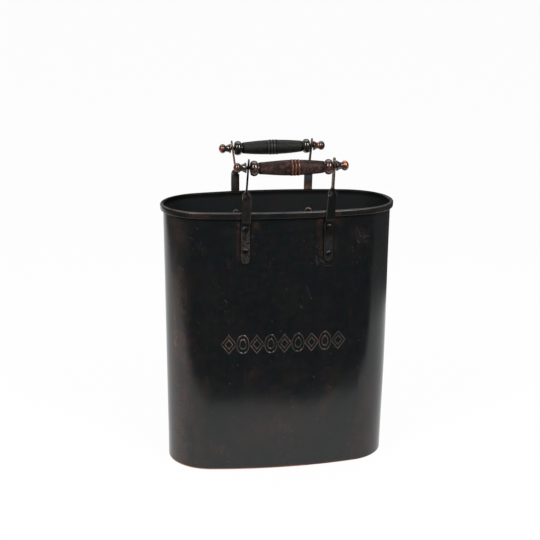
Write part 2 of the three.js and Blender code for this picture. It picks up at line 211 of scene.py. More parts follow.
class BasketBody(bpy.types.PropertyGroup):
    height: measure("Height", "Height of the body up to its rim", 370 * MM)
    rim_width: measure("Rim width", "Width over the wall just under the rim", 316.8 * MM)
    rim_depth: measure("Rim depth", "Depth over the wall just under the rim", 142.8 * MM)
    rim_side_swell: measure(
        "Rim side swell", "How far the long sides swell past the round ends", 9.6 * MM,
    )
    foot_width: measure("Foot width", "Width over the wall at the foot", 311.4 * MM)
    foot_depth: measure("Foot depth", "Depth over the wall at the foot", 140.2 * MM)
    foot_side_swell: measure(
        "Foot side swell", "How far the long sides swell at the foot", 7.5 * MM,
    )
    sheet: measure("Sheet", "Thickness of the wall's sheet", 0.9 * MM)
    waviness: measure("Waviness", "How far the hand-made wall strays from its true form", 0.32 * MM)
    row_relief: measure("Row relief", "Height of the embossed row on the front", 0.6 * MM)


class BasketHandles(bpy.types.PropertyGroup):
    strap_width: measure("Strap width", "Width of the flat bars", 12 * MM)
    strap_thickness: measure("Strap thickness", "Thickness of the flat bars", 2.5 * MM)
    hammering: measure("Hammering", "Depth of the hammer marks on straps and rivets", 0.12 * MM)


class BasketFinish(bpy.types.PropertyGroup):
    oxide: tone("Oxide", "The near-black patina", (0.0040, 0.0060, 0.0068))
    brown: tone("Brown", "The patina where it is rubbed thin", (0.045, 0.022, 0.014))
    copper: tone("Copper", "Bare copper on edges and crests", (0.55, 0.25, 0.14))
    # The dust colour is also painted as sheen and highlights on crests, edges, rivets and beads.
    dust_and_sheen: tone("Dust_and_sheen", "The dull grey film inside the body and in pits", (0.034, 0.037, 0.038))


class BasketStudio(bpy.types.PropertyGroup):
    camera_place: bpy.props.FloatVectorProperty(
        name="Camera place", description="Where the camera stands", subtype="TRANSLATION",
        size=3, unit="LENGTH", default=(-271.705 * MM, -1483.702 * MM, 697.651 * MM),
    )
    camera_turn: measure(
        "Camera turn", "The way it looks, from +Y towards +X", math.radians(10.0), "ROTATION",
    )
    camera_pitch: measure(
        "Camera pitch", "How far it looks down", math.radians(15.84), "ROTATION",
    )
    camera_roll: measure("Camera roll", "How far it leans", math.radians(0.56), "ROTATION")
    lens: measure("Lens", "Focal length on a 36 mm sensor, in millimetres", 74.3, "NONE")
    softbox_power: measure(
        "Softbox power", "Power of each of the two softboxes", 29.0, "POWER",
    )
    top_power: measure("Top power", "Power of the softbox overhead", 7.0, "POWER")
    room_light: measure("Room light", "Strength of the even light from all sides", 0.37, "NONE")


class BasketSettings(bpy.types.PropertyGroup):
    body: bpy.props.PointerProperty(type=BasketBody)
    handles: bpy.props.PointerProperty(type=BasketHandles)
    finish: bpy.props.PointerProperty(type=BasketFinish)
    studio: bpy.props.PointerProperty(type=BasketStudio)


# Meshes


# What is painted on the points: bare copper with some painted glints, rubbed brown, dull dust with
# painted sheen, black grime with painted shade, and polish
PAINTS = ("wear", "brown", "dust_and_sheen", "grime_and_shade", "polish")
SHARP_ANGLE = math.radians(35)
LEAST_SQUARE = 1e-14


def new_mesh(name, points, faces):
    mesh = bpy.data.meshes.new(name)
    mesh.from_pydata(points, [], faces)
    return mesh


def new_object(name, data):
    """A new object in the scene that holds the data."""
    thing = bpy.data.objects.new(name, data)
    bpy.context.collection.objects.link(thing)
    return thing


def write_points(mesh, label, values):
    """Writes an attribute with a number for each point of a mesh."""
    mesh.attributes.new(label, "FLOAT", "POINT").data.foreach_set("value", values)


def new_piece(name, points, faces, finish, paints=None, body="basket"):
    """A smooth-shaded mesh with outward faces and a finish that rides on a body. Each point's
    paints come in the order of PAINTS, and those that aren't given are 0."""
    mesh = new_mesh(name, points, faces)
    mesh.validate()
    piece = new_object(name, mesh)
    turn_outwards(mesh)
    mesh.shade_smooth()
    mesh.set_sharp_from_angle(angle=SHARP_ANGLE)
    paints = paints or [()] * len(points)
    for i, label in enumerate(PAINTS):
        write_points(mesh, label, [paint[i] if i < len(paint) else 0.0 for paint in paints])
    mark_edges(mesh)
    mesh.materials.append(finish_of(finish))
    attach(piece, body)
    return piece


def turn_outwards(mesh):
    """Turns a closed mesh's faces over if they point inwards."""
    volume = 0.0
    points = mesh.vertices
    for face in mesh.polygons:
        corners = [points[i].co for i in face.vertices]
        for k in range(1, len(corners) - 1):
            volume += corners[0].dot(corners[k].cross(corners[k + 1]))
    if volume < 0:
        mesh.flip_normals()


def mark_edges(mesh):
    """Writes how sharply the surface bulges at each point, in 1/m, as the attribute edge."""
    count = len(mesh.vertices)
    sums = [0.0] * count
    shares = [0] * count
    points = [v.co.copy() for v in mesh.vertices]
    normals = [v.normal.copy() for v in mesh.vertices]
    for edge in mesh.edges:
        a, b = edge.vertices
        way = points[b] - points[a]
        size = way.length_squared
        if size < LEAST_SQUARE:
            continue
        sums[a] -= 2 * way.dot(normals[a]) / size
        sums[b] += 2 * way.dot(normals[b]) / size
        shares[a] += 1
        shares[b] += 1
    write_points(mesh, "edge", [sums[i] / max(shares[i], 1) for i in range(count)])


def loop_faces(rings, columns, closed_rings):
    """Quads over rings x columns points; columns close on themselves, rings only if told to."""
    faces = []
    for i in range(rings if closed_rings else rings - 1):
        here, there = i * columns, ((i + 1) % rings) * columns
        for k in range(columns):
            after = (k + 1) % columns
            faces.append((here + k, here + after, there + after, there + k))
    return faces


def capped(points, faces, ring, middle):
    """Closes a ring of point numbers with a fan to a new middle point."""
    hub = len(points)
    points.append(middle)
    for k, corner in enumerate(ring):
        faces.append((corner, ring[(k + 1) % len(ring)], hub))


def revolve(profile, steps, matrix, shape=None):
    """Revolves (radius, along) points about the matrix's Z. shape moves each point."""
    points, faces, rows = [], [], []
    for radius, along in profile:
        around = steps if radius > 0 else 1
        rows.append(list(range(len(points), len(points) + around)))
        for k in range(around):
            angle = 2 * math.pi * k / steps
            points.append(Vector((radius * math.cos(angle), radius * math.sin(angle), along)))
    for row, after in zip(rows, rows[1:]):
        for k in range(steps):
            one, two = row[k % len(row)], row[(k + 1) % len(row)]
            three, four = after[(k + 1) % len(after)], after[k % len(after)]
            face = list(dict.fromkeys((one, two, three, four)))
            if len(face) > 2:
                faces.append(face)
    if profile[0] == profile[-1]:
        same = dict(zip(rows[-1], rows[0]))
        faces = [[same.get(i, i) for i in face] for face in faces]
        del points[rows[-1][0]:]
    if shape:
        points = [shape(point) for point in points]
    return [matrix @ point for point in points], faces


def axis_matrix(origin, way):
    """A frame whose Z runs along way, with its X level or up."""
    up = Vector((0, 0, 1))
    side = up.cross(way).normalized()
    above = way.cross(side)
    return Matrix.Translation(origin) @ Matrix((side, above, way)).transposed().to_4x4()


# The wall's form


class WallForm:
    """The plan of the wall's outer face: an oval of four arcs that grows with the height."""

    def __init__(self, body):
        self.height = body.height
        self.sheet = body.sheet
        self.foot = (body.foot_width / 2, body.foot_depth / 2, body.foot_side_swell)
        self.rim = (body.rim_width / 2, body.rim_depth / 2, body.rim_side_swell)
        self.ovals = {}

    def oval(self, z):
        """(half depth, end radius, end centre, side radius, the angle where they meet)."""
        if z not in self.ovals:
            half_width, half_depth, swell = (
                mix(low, high, z / self.height) for low, high in zip(self.foot, self.rim)
            )
            end_radius = half_depth - swell
            end_centre = half_width - end_radius
            side_radius = (end_centre ** 2 + half_depth ** 2 - end_radius ** 2) / (2 * swell)
            meet_angle = math.atan2(end_centre, side_radius - half_depth)
            self.ovals[z] = half_depth, end_radius, end_centre, side_radius, meet_angle
        return self.ovals[z]

    def point(self, angle, z, out=0.0):
        """A point of the wall where it faces angle, out from its true outer face."""
        half_depth, end_radius, end_centre, side_radius, meet_angle = self.oval(z)
        across, along = math.cos(angle), math.sin(angle)
        if abs(along) > math.cos(meet_angle):
            centre = math.copysign(side_radius - half_depth, -along)
            return Vector((across * (side_radius + out), along * (side_radius + out) + centre, z))
        centre = math.copysign(end_centre, across)
        return Vector((across * (end_radius + out) + centre, along * (end_radius + out), z))

    def side_face(self, x, z):
        half_depth, _, _, side_radius, _ = self.oval(min(z, self.height))
        return half_depth - side_radius + math.sqrt(side_radius ** 2 - x ** 2)

    def side_turn(self, x, z):
        return math.asin(x / self.oval(min(z, self.height))[3])


END_STEPS = 56
COARSE_STEP = 2.6 * MM
FINE_STEP = 0.45 * MM
ROW_MARGIN = 2 * MM


def stepped(low, high, step):
    count = max(1, round((high - low) / step))
    return [mix(low, high, i / count) for i in range(count)]


def wall_columns(form):
    """The angles that the wall's columns face: fine at the embossed row and at the seam."""
    _, _, _, side_radius, meet_angle = form.oval(form.height)
    reach = side_radius * math.sin(meet_angle)
    angles = stepped(meet_angle - QUARTER, QUARTER - meet_angle, 2 * QUARTER / END_STEPS)
    lap_end = SEAM_SHIFT + LAP_WIDTH
    rear = (
        stepped(reach, lap_end + LAP_RAMP, -COARSE_STEP)
        + stepped(lap_end + LAP_RAMP, lap_end, -FINE_STEP)
        + stepped(lap_end, SEAM_SHIFT, -COARSE_STEP)
        + stepped(SEAM_SHIFT, SEAM_SHIFT - LAP_EDGE, -LAP_EDGE / 2)
        + stepped(SEAM_SHIFT - LAP_EDGE, -reach, -COARSE_STEP)
    )
    angles += [math.acos(x / side_radius) for x in rear]
    angles += stepped(QUARTER + meet_angle, 3 * QUARTER - meet_angle, 2 * QUARTER / END_STEPS)
    row_low, row_high = ROW_LEFT - ROW_MARGIN, ROW_RIGHT + ROW_MARGIN
    front = (
        stepped(-reach, row_low, COARSE_STEP)
        + stepped(row_low, row_high, FINE_STEP)
        + stepped(row_high, reach, FINE_STEP * 2)
    )
    angles += [3 * QUARTER + math.asin(x / side_radius) for x in front]
    return angles


def stray(point):
    """How far the hand-made sheet strays outwards at a place, as a share of its waviness."""
    slow = wander(point.x * 11, point.y * 11, point.z * 7 + 3)
    quick = wander(point.x * 34, point.y * 34, point.z * 26 + 9)
    dents = wander(point.x * 78, point.y * 78, point.z * 62 + 5)
    swell = 3.2 * ease(point.x, 0.12, 0.155) * near(point.z, 0.15, 0.17)
    return slow + 0.3 * quick + 0.05 * dents + swell


def outline_distance(u, v, half_width, half_height, is_round):
    """About how far a place is from an upright oval or lozenge."""
    if is_round:
        size = math.hypot(u / half_width, v / half_height)
        if size < 1e-6:
            return -half_width
        slope = math.hypot(u / half_width ** 2, v / half_height ** 2) / size
        return (size - 1) / slope
    slope = math.hypot(1 / half_width, 1 / half_height)
    return (abs(u) / half_width + abs(v) / half_height - 1) / slope


MOTIF_SHARE = 0.86
INNER_MOTIF_SHARE = 0.52
LINE_HALF_WIDTH = 0.85 * MM
FIELD_SINK_SHARE = 0.35


def row_relief(x, z):
    """The embossed row's height at a place on the front, as a share of its relief."""
    if not ROW_LEFT - ROW_MARGIN < x < ROW_RIGHT + ROW_MARGIN:
        return 0.0
    if not ROW_LOW - ROW_MARGIN < z < ROW_HIGH + ROW_MARGIN:
        return 0.0
    pitch = (ROW_RIGHT - ROW_LEFT) / ROW_COUNT
    number = int(clamp((x - ROW_LEFT) // pitch, 0, ROW_COUNT - 1))
    u = x - ROW_LEFT - pitch * (number + 0.5)
    v = z - (ROW_LOW + ROW_HIGH) / 2
    is_round = number % 2 == 1
    half_width = pitch / 2 * (MOTIF_SHARE if is_round else 1 / MOTIF_SHARE ** 0.3)
    half_height = (ROW_HIGH - ROW_LOW) / 2
    height = 0.0
    for share in (1.0, INNER_MOTIF_SHARE):
        distance = outline_distance(u, v, half_width * share, half_height * share, is_round)
        height = max(height, ebb(abs(distance), LINE_HALF_WIDTH * 0.25, LINE_HALF_WIDTH))
    inner = outline_distance(u, v, half_width, half_height, is_round)
    core = outline_distance(
        u, v, half_width * INNER_MOTIF_SHARE, half_height * INNER_MOTIF_SHARE, is_round
    )
    sunk = ease(-inner, 0, LINE_HALF_WIDTH * 2) * ease(core, 0, LINE_HALF_WIDTH * 2)
    return height - FIELD_SINK_SHARE * sunk


def rim_section():
    """The rolled rim's section as (out, z) from the wall's inner face over the top, down its
    upright front to the foot of the roll, and back up inside it."""
    body = settings().body
    inner_radius = WIRE_RADIUS + SEAT_GAP
    outer_radius = inner_radius + body.sheet
    height = body.height - outer_radius
    front = inner_radius + outer_radius
    lip_high = LIP_LOW + LIP_ROUND
    outer = arc(inner_radius, height, outer_radius, outer_radius, math.pi, CREST_END, CREST_STEPS)
    outer += [(mix(front, front - LIP_LEAN, s), mix(height, lip_high, s)) for s in (0.35, 0.7)]
    lip = front - LIP_LEAN - LIP_ROUND
    outer += arc(lip, lip_high, LIP_ROUND, LIP_ROUND, 0, -QUARTER, LIP_STEPS)
    tip = (SEAT_GAP + body.sheet, LIP_LOW)
    inner = arc(inner_radius, height, inner_radius, inner_radius, math.pi, 0, ROLL_STEPS)
    inner += [(inner_radius * 2 - LIP_LEAN, lip_high), (tip[0], LIP_LOW + body.sheet)]
    return outer, inner, tip


# Small dings in the rim: where they are, and how deep
RIM_DINGS = ((-0.118, -0.051, 0.9 * MM), (0.0712, -0.0745, 0.8 * MM), (0.012, 0.0735, 0.7 * MM))
DING_REACH = 3.2 * MM
RIM_WAVE = 0.18 * MM


def rim_sag(point):
    """How far the rim dips at a place: a slow wave and a few small dings."""
    sag = RIM_WAVE * wander(point.x * 16, point.y * 16, 5)
    for x, y, depth in RIM_DINGS:
        sag -= depth * near(math.hypot(point.x - x, point.y - y), 0, DING_REACH)
    return sag


def lap_share(form, angle):
    """The lap's thickness at the back, as a share of the sheet."""
    if math.sin(angle) < 0.9:
        return 0.0
    x = form.oval(form.height)[3] * math.cos(angle)
    lap_end = SEAM_SHIFT + LAP_WIDTH
    rise = clamp((x - SEAM_SHIFT + LAP_EDGE) / LAP_EDGE)
    fall = clamp((lap_end + LAP_RAMP - x) / LAP_RAMP)
    return min(rise, fall)


# Rubbed places beside the straps: in millimetres x from the strap's middle, how far below the rim
# and how far they reach both ways, and then how bare and how brown they are
RUBS = (
    (FRONT_LEFT, -8.5, 15, 7, 17, 0.34, 1.0),
    (FRONT_LEFT, -8, 38, 6, 34, 0.1, 0.8),
    (FRONT_LEFT, 12, 16, 9, 9, 0.12, 0.65),
    (FRONT_LEFT, 8.5, 46, 5, 26, 0.0, 0.6),
    (FRONT_RIGHT, -11, 15, 9, 17, 0.22, 0.95),
    (FRONT_RIGHT, -10, 44, 8, 34, 0.03, 0.42),
    (FRONT_RIGHT, -8, 60, 4, 12, 0.14, 0.6),
    (FRONT_RIGHT, 13, 15, 12, 11, 0.04, 0.5),
    (FRONT_RIGHT, 9, 52, 6, 24, 0.0, 0.4),
    (FRONT_RIGHT, 46, 42, 18, 26, 0.0, 0.3),
    (REAR_LEFT, 9, 16, 8, 17, 0.26, 0.95),
    (REAR_LEFT, -9, 44, 6, 32, 0.06, 0.6),
    (REAR_LEFT, -12, 14, 10, 10, 0.1, 0.7),
    (REAR_RIGHT, -9.5, 18, 8, 18, 0.2, 0.9),
    (REAR_RIGHT, 9, 50, 6, 30, 0.05, 0.6),
    (REAR_RIGHT, -40, 52, 22, 24, 0.0, 0.3),
)
LEFT_STREAK_TURN = math.radians(212)
# Where the straps' sides lie from their middles, and how far the painted shade beside them reaches
STRAP_SIDE = 6 * MM
CONTACT_SHADE_REACH = 2.2 * MM

# Scratches on the front: from x, z to x, z in millimetres, half their width, and how bare
SCRATCHES = (
    (40.5, 307, 42.6, 295, 0.7, 0.3), (43, 297, 50, 301, 0.6, 0.2), (45.5, 303, 52, 297.5, 0.6, 0.28),
    (52, 293.5, 61, 292.5, 0.6, 0.2), (28, 266, 31, 257, 0.5, 0.24), (31, 257, 34, 248.5, 0.5, 0.16),
    (98, 341, 101.5, 335, 0.6, 0.24), (101, 333, 106, 329, 0.6, 0.3), (104, 342, 110, 338, 0.5, 0.2),
    (99, 326, 101.5, 321, 0.7, 0.3), (107, 335, 109.5, 325, 0.5, 0.24), (109, 331, 115, 330, 0.6, 0.3),
    (111, 324, 114, 319, 0.5, 0.2), (95, 338, 98, 329, 0.5, 0.16), (-131, 335, -125, 334, 0.8, 0.16),
    (-129, 331, -122, 332.5, 0.7, 0.12), (66, 288, 69, 278, 0.5, 0.1), (-58, 262, -40, 263.5, 0.6, 0.08),
    (-83, 249, -80, 246, 0.9, 0.28), (20.5, 237.5, 22, 236, 0.8, 0.4), (-30, 320, -24, 321, 0.5, 0.1),
)


def scratched(x, z):
    """How deep the scratches are at a place on the front."""
    bare = 0.0
    for x1, z1, x2, z2, half, strength in SCRATCHES:
        if not min(x1, x2) - 2 < x / MM < max(x1, x2) + 2:
            continue
        if not min(z1, z2) - 2 < z / MM < max(z1, z2) + 2:
            continue
        run, rise = x2 - x1, z2 - z1
        share = clamp(((x / MM - x1) * run + (z / MM - z1) * rise) / (run ** 2 + rise ** 2))
        away = math.hypot(x / MM - x1 - share * run, z / MM - z1 - share * rise)
        line = ebb(away, half * 0.3, half * 1.5)
        bare = max(bare, strength * line)
    return bare


def wall_paint(point, facing, height, where):
    """(bare copper, rubbed brown, dust and painted sheen, grime and painted shade) of the wall where it
    faces an angle.
    """
    # The hidden inside of the roll is painted dark as shade.
    if where == "hidden":
        return 0.0, 0.5, 0.0, 1.0
    if where == "inside":
        return inside_wear(point)
    if where == "rim":
        return rim_paint(point, height)
    return outside_paint(point, facing, height)


def rim_paint(point, height):
    """The same for the rolled rim: a painted highlight along its crest in front, partly rubbed copper,
    and dark at the back.
    """
    crest = ease(point.z, height - 2.4 * MM, height - 0.4 * MM)
    foot = ebb(point.z, height - 8.8 * MM, height - 7.6 * MM)
    left = 1 - ease(point.x, -0.12, -0.02) * (point.y < 0)
    front = ebb(point.y, 0, 0.04)
    ends = ease(abs(point.x + 0.01), 0.08, 0.15)
    # Along the crest, and along the foot of the roll on the left, the bare copper and dust are a painted
    # highlight as well as rubbing.
    bare = front * (0.05 + (0.26 + 0.04 * ends) * crest + 0.1 * foot * left)
    brown = mix(0.15, 0.45, left)
    if point.y < 0:
        for corner, strength in ((FRONT_LEFT, 0.35), (FRONT_RIGHT, 0.7)):
            beside = near(abs(point.x - RIVETS[f"{corner}_upper_rivet"].x), 9 * MM, 12 * MM)
            bare += 0.05 * beside
            brown = max(brown, strength * beside)
    low = ebb(point.z, height - 5 * MM, height - 3.5 * MM)
    brown = max(brown, 0.5 * low * (1 - front))
    broken = clamp(0.95 + 1.2 * wander(point.x * 70, point.y * 70, 8))
    return bare * broken, brown, front * crest * broken, 0.85 * (1 - front) * (1 - 0.8 * low)


def outside_paint(point, facing, height):
    """The same for the outside: rubbed beside the straps, along the foot, low down and at the left,
    and up the seam at the back, with painted shade under the rim's lip and along the straps' sides."""
    is_rear = point.y > 0
    corners = CORNERS[2:] if is_rear else CORNERS[:2]
    bare = ebb(point.z, 0.4 * MM, 2.2 * MM) * (0.6 if point.x > 0.03 else 1.0)
    brown = 0.8 * ebb(point.z, 0.5 * MM, 5 * MM)
    # Painted shade in the strip under the rim's lip.
    grime_and_shade = 0.9 * ease(point.z, height - 12.5 * MM, height - 9.5 * MM)
    for corner, x, drop, x_reach, z_reach, bare_share, brown_share in RUBS:
        if corner not in corners:
            continue
        x = RIVETS[f"{corner}_lower_rivet"].x + x * MM
        here = near(point.x, x, x_reach * MM) ** 0.7
        here *= near(point.z, height - drop * MM, z_reach * MM) ** 0.7
        bare = max(bare, bare_share * here)
        brown = max(brown, brown_share * here)
    low_middle = near(point.x, -12 * MM, 85 * MM) * near(point.z, 60 * MM, 75 * MM)
    spread = wander(point.x * 21, point.z * 17, 6 + 4 * is_rear)
    brown = max(brown, 0.4 * low_middle, 0.4 * ease(spread, 0.05, 0.35) * ebb(point.z, 0.09, 0.17))
    low = height - FOOT_DROP
    # Painted contact shade along the straps' sides and under their feet.
    for corner in corners:
        middle = RIVETS[f"{corner}_lower_rivet"].x
        beside = near(abs(point.x - middle), STRAP_SIDE, CONTACT_SHADE_REACH)
        beside *= ease(point.z, low + 4 * MM, low + 8 * MM)
        below = math.hypot(point.x - middle, point.z - low - STRAP_SIDE)
        beside = max(beside, near(below, STRAP_SIDE, CONTACT_SHADE_REACH) * (point.z < low + STRAP_SIDE))
        grime_and_shade = max(grime_and_shade, 0.45 * beside)
    if is_rear:
        seam = near(point.x, SEAM_SHIFT + 2 * MM, 9 * MM) ** 0.6
        drift = wander(point.x * 13, point.z * 8, 2)
        brown = max(brown, 0.75 * seam, 0.5 * ease(drift, 0.0, 0.4))
        bare = max(bare, 0.16 * near(point.x, SEAM_SHIFT, 2.5 * MM))
    streak = near(facing, LEFT_STREAK_TURN, 0.16) * near(point.z, 0.2, 0.09) ** 0.6
    low_left = near(facing, LEFT_STREAK_TURN + 0.05, 0.3) * ebb(point.z, 0.02, 0.11)
    bare = max(bare, 0.36 * streak, 0.22 * low_left)
    left_band = near(facing, LEFT_STREAK_TURN + 0.1, 0.42) ** 0.7
    brown = max(brown, streak, mix(1.2, 0.6, ease(point.z, 0.2, 0.3)) * left_band)
    return bare, brown, 0.15 * left_band, grime_and_shade


def inside_wear(point):
    """The same for the wall's inside, which has no grime."""
    brown, bare = 0.0, 0.0
    if point.y > 0:
        brown = 0.3 * near(point.x, SEAM_SHIFT + LAP_WIDTH / 2, LAP_WIDTH * 0.75)
        for corner, strength in ((REAR_LEFT, 0.1), (REAR_RIGHT, 0.16)):
            middle = RIVETS[f"{corner}_upper_rivet"]
            away = math.hypot(point.x - middle.x, point.z - middle.z)
            halo = ebb(away, INNER_HEAD_RADIUS + 0.4 * MM, INNER_HEAD_RADIUS + 3.4 * MM)
            bare = max(bare, strength * halo)
            brown = max(brown, 2 * strength * halo)
    return bare, 0.7 * brown, 0.3 - 0.2 * brown


HEIGHT_STEP = 3 * MM
SCRATCHED_STEP = 1 * MM
SCRATCHED_HIGH = 346 * MM
INSIDE_STEP = 6 * MM
FOOT_HEIGHTS = (4.5 * MM, 3 * MM, 2 * MM, 1.2 * MM, 0.6 * MM)
EDGE_ROUND = 0.25 * MM
EDGE_CUT = 0.3 * EDGE_ROUND
# How near the foot and the rim the wall holds its true form
STIFF_REACH = 30 * MM


def wall_section():
    """The wall's section as (out, z, where), from the foot of its inside, over the rim and down."""
    outer, inner, tip = rim_section()
    sheet = settings().body.sheet
    inside = [(-sheet, z, "inside") for z in stepped(EDGE_ROUND * 2, outer[0][1], INSIDE_STEP)]
    roll = [(x, z, "rim") for x, z in (*outer, tip)]
    back = [(SEAT_GAP, LIP_LOW + 0.3 * MM, "hidden")]
    back += [(x, z, "hidden") for x, z in reversed(inner)]
    heights = (
        *stepped(inner[0][1] - 1 * MM, SCRATCHED_HIGH, -HEIGHT_STEP),
        *stepped(SCRATCHED_HIGH, ROW_HIGH + ROW_MARGIN, -SCRATCHED_STEP),
        *stepped(ROW_HIGH + ROW_MARGIN, ROW_LOW - ROW_MARGIN, -FINE_STEP),
        *stepped(ROW_LOW - ROW_MARGIN, 6 * MM, -HEIGHT_STEP),
        *FOOT_HEIGHTS, EDGE_ROUND,
    )
    outside = [(0.0, z, "outside") for z in heights]
    foot = [(-EDGE_CUT, EDGE_CUT, "outside"), (-EDGE_ROUND, 0.0, "outside")]
    foot += [(EDGE_ROUND - sheet, 0.0, "inside"), (EDGE_CUT - sheet, EDGE_CUT, "inside")]
    return inside + roll + back + outside + foot


class BASKET_OT_wall(bpy.types.Operator):
    """Build the wall with its rolled rim, lap seam and embossed row"""

    bl_idname = "basket.wall"
    bl_label = "Wall"

    def execute(self, context):
        body = settings().body
        form = WallForm(body)
        section = wall_section()
        columns = wall_columns(form)
        rim_low = LIP_LOW - 1 * MM
        waviness, relief = body.waviness, body.row_relief
        points, paints = [], []
        for angle in columns:
            is_front = math.sin(angle) < 0
            lap = form.sheet * lap_share(form, angle)
            sag = rim_sag(form.point(angle, rim_low))
            for out, z, where in section:
                line, shift = 0.0, 0.0
                true = form.point(angle, z)
                if where == "outside":
                    shift = lap if z < rim_low - LAP_STOP else 0.0
                    if is_front:
                        line = row_relief(true.x, z)
                        shift += relief * line
                level = form.point(angle, min(z, rim_low))
                held = 0.6 * ease(z, rim_low - STIFF_REACH, rim_low)
                freedom = ease(z, 0, STIFF_REACH) * (1 - held)
                point = form.point(angle, z, out + shift + waviness * freedom * stray(level))
                point.z += sag * ease(z, rim_low - 1 * MM, form.height)
                points.append(point)
                paint = wall_paint(point, angle, form.height, where)
                if line > 0:
                    across = clamp((point.x - ROW_LEFT) / (ROW_RIGHT - ROW_LEFT))
                    paint = max(paint[0], mix(0.14, 0.08, across) * line), max(paint[1], line)
                elif where == "outside" and is_front:
                    bare, brown, dust_and_sheen, grime_and_shade = paint
                    mark = scratched(true.x, z)
                    paint = max(bare, 0.5 * mark), brown, max(dust_and_sheen, min(1.7 * mark, 1.0)), grime_and_shade
                paints.append(paint)
        faces = loop_faces(len(columns), len(section), True)
        piece = new_piece("basket_wall", points, faces, "body", paints)
        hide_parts("wall_shell")
        return {"FINISHED"}


class BASKET_OT_rim_wire(bpy.types.Operator):
    """Finish the wire inside the rolled rim"""

    bl_idname = "basket.rim_wire"
    bl_label = "Rim wire"

    def execute(self, context):
        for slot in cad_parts["rim_wire"].material_slots:
            slot.link = "OBJECT"
            slot.material = finish_of("wire")
        return {"FINISHED"}


PAN_STEPS = 240
PAN_RING_SHARES = tuple(i / 40 for i in range(1, 40))
PAN_WAVE = 0.12 * MM


def dished(point):
    """The pan's upper face, a little wavy."""
    wave = wander(point.x * 30, point.y * 30, 1)
    return Vector((point.x, point.y, PAN_SHEET + PAN_WAVE * wave))


class BASKET_OT_base_pan(bpy.types.Operator):
    """Build the dished bottom pan"""

    bl_idname = "basket.base_pan"
    bl_label = "Bottom pan"

    def execute(self, context):
        form = WallForm(settings().body)
        outer = -form.sheet - SEAT_GAP
        bend_place = outer - PAN_BEND
        radius = PAN_BEND - PAN_SHEET
        lip = 0.4 * PAN_SHEET
        section = [
            *arc(bend_place, PAN_BEND, PAN_BEND, PAN_BEND, -QUARTER, 0, PAN_BEND_STEPS),
            (outer, PAN_FLANGE - lip), (outer - lip / 2, PAN_FLANGE),
            (outer - PAN_SHEET + lip / 2, PAN_FLANGE), (outer - PAN_SHEET, PAN_FLANGE - lip),
            *arc(bend_place, PAN_BEND, radius, radius, 0, -QUARTER, PAN_BEND_STEPS),
        ]
        angles = [2 * math.pi * k / PAN_STEPS for k in range(PAN_STEPS)]
        edge = [form.point(a, 0, bend_place) for a in angles]
        rows = [[point * share for point in edge] for share in PAN_RING_SHARES]
        rows += [[form.point(a, z, out) for a in angles] for out, z in section]
        rows += [[dished(point * share) for point in edge] for share in reversed(PAN_RING_SHARES)]
        points = [point for row in rows for point in row]
        faces = loop_faces(len(rows), PAN_STEPS, False)
        capped(points, faces, list(range(PAN_STEPS))[::-1], Vector((0, 0, 0)))
        last = (len(rows) - 1) * PAN_STEPS
        capped(points, faces, list(range(last, last + PAN_STEPS)), dished(Vector((0, 0, 0))))
        piece = new_piece("bottom_pan", points, faces, "pan")
        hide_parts("base_pan")
        return {"FINISHED"}


# Handles


def side_of(corner):
    """(the side's values, the hand as that side is faced, the half turn of the rear)."""
    name, hand = corner.split("_")
    is_rear = name == "rear"
    sign = -1 if (hand == "left") != is_rear else 1
    turn = Matrix.Rotation(math.pi, 4, "Z") if is_rear else Matrix.Identity(4)
    return SIDES[name], sign, turn


def axis_depth():
    return settings().body.rim_depth / 2 + AXIS_OVERHANG


def axis_way(side):
    return Vector((math.cos(side["axis_tilt"]), 0, math.sin(side["axis_tilt"])))


def axis_place(side, along):
    height = settings().body.height + side["axis_rise"]
    return Vector((side["axis_shift"], -axis_depth(), height)) + axis_way(side) * along


def strap_places(side, hand):
    twist_high = settings().body.height + TWIST_RISE + TWIST_LENGTH
    foot = side["foot_shift"] + hand * side["foot_half_span"]
    root = side["root_shift"] + hand * side["root_half_span"]
    hole = axis_place(side, hand * EAR_HALF_SPAN)
    lean = (hole.x - root) / (hole.z - twist_high)
    return foot, root, hole, lean, side["ear_turns"][HANDS.index(hand)]


def strap_middle(form, places, z):
    foot, root, _, lean, _ = places
    height = form.height
    thickness = settings().handles.strap_thickness
    joggle_low = height - JOGGLE_DROP
    twist_low = height + TWIST_RISE
    twist_high = twist_low + TWIST_LENGTH
    x = mix(foot, root, clamp((z - joggle_low) / (twist_high - joggle_low)))
    x += lean * max(0, z - twist_high)
    rim_reach = 2 * (WIRE_RADIUS + SEAT_GAP) + form.sheet
    on_wall = form.side_face(foot, z) + SEAT_GAP + thickness / 2
    over_rim = form.side_face(foot, height) + rim_reach + SEAT_GAP + thickness / 2
    set_out = mix(on_wall, over_rim, ease(z, joggle_low, joggle_low + JOGGLE_LENGTH))
    depth = mix(set_out, axis_depth(), ease(z, twist_low, twist_high))
    return Vector((x, -depth, z))


STRAP_ROUND = 0.65 * MM
STRAP_CORNER_STEPS = 5
STRAP_FLAT_STEPS = 22
STRAP_EDGE_STEPS = 3
STRAP_STEP = 0.5 * MM
NOSE_ANGLE = math.radians(8)
NOSE_STEPS = 12


def strap_outline():
    """The strap's section round its middle, as (across, through) from its right edge on."""
    handles = settings().handles
    x, y = handles.strap_width / 2 - STRAP_ROUND, handles.strap_thickness / 2 - STRAP_ROUND
    corners = [
        arc(x * a, y * b, STRAP_ROUND, STRAP_ROUND, k * QUARTER, (k + 1) * QUARTER, STRAP_CORNER_STEPS)
        for k, (a, b) in enumerate(((1, 1), (-1, 1), (-1, -1), (1, -1)))
    ]
    outline = []
    for k, corner in enumerate(corners):
        start, end = corner[-1], corners[(k + 1) % 4][0]
        steps = STRAP_FLAT_STEPS if k % 2 == 0 else STRAP_EDGE_STEPS
        shares = [i / steps for i in range(1, steps)]
        outline += corner + [(mix(start[0], end[0], s), mix(start[1], end[1], s)) for s in shares]
    return outline


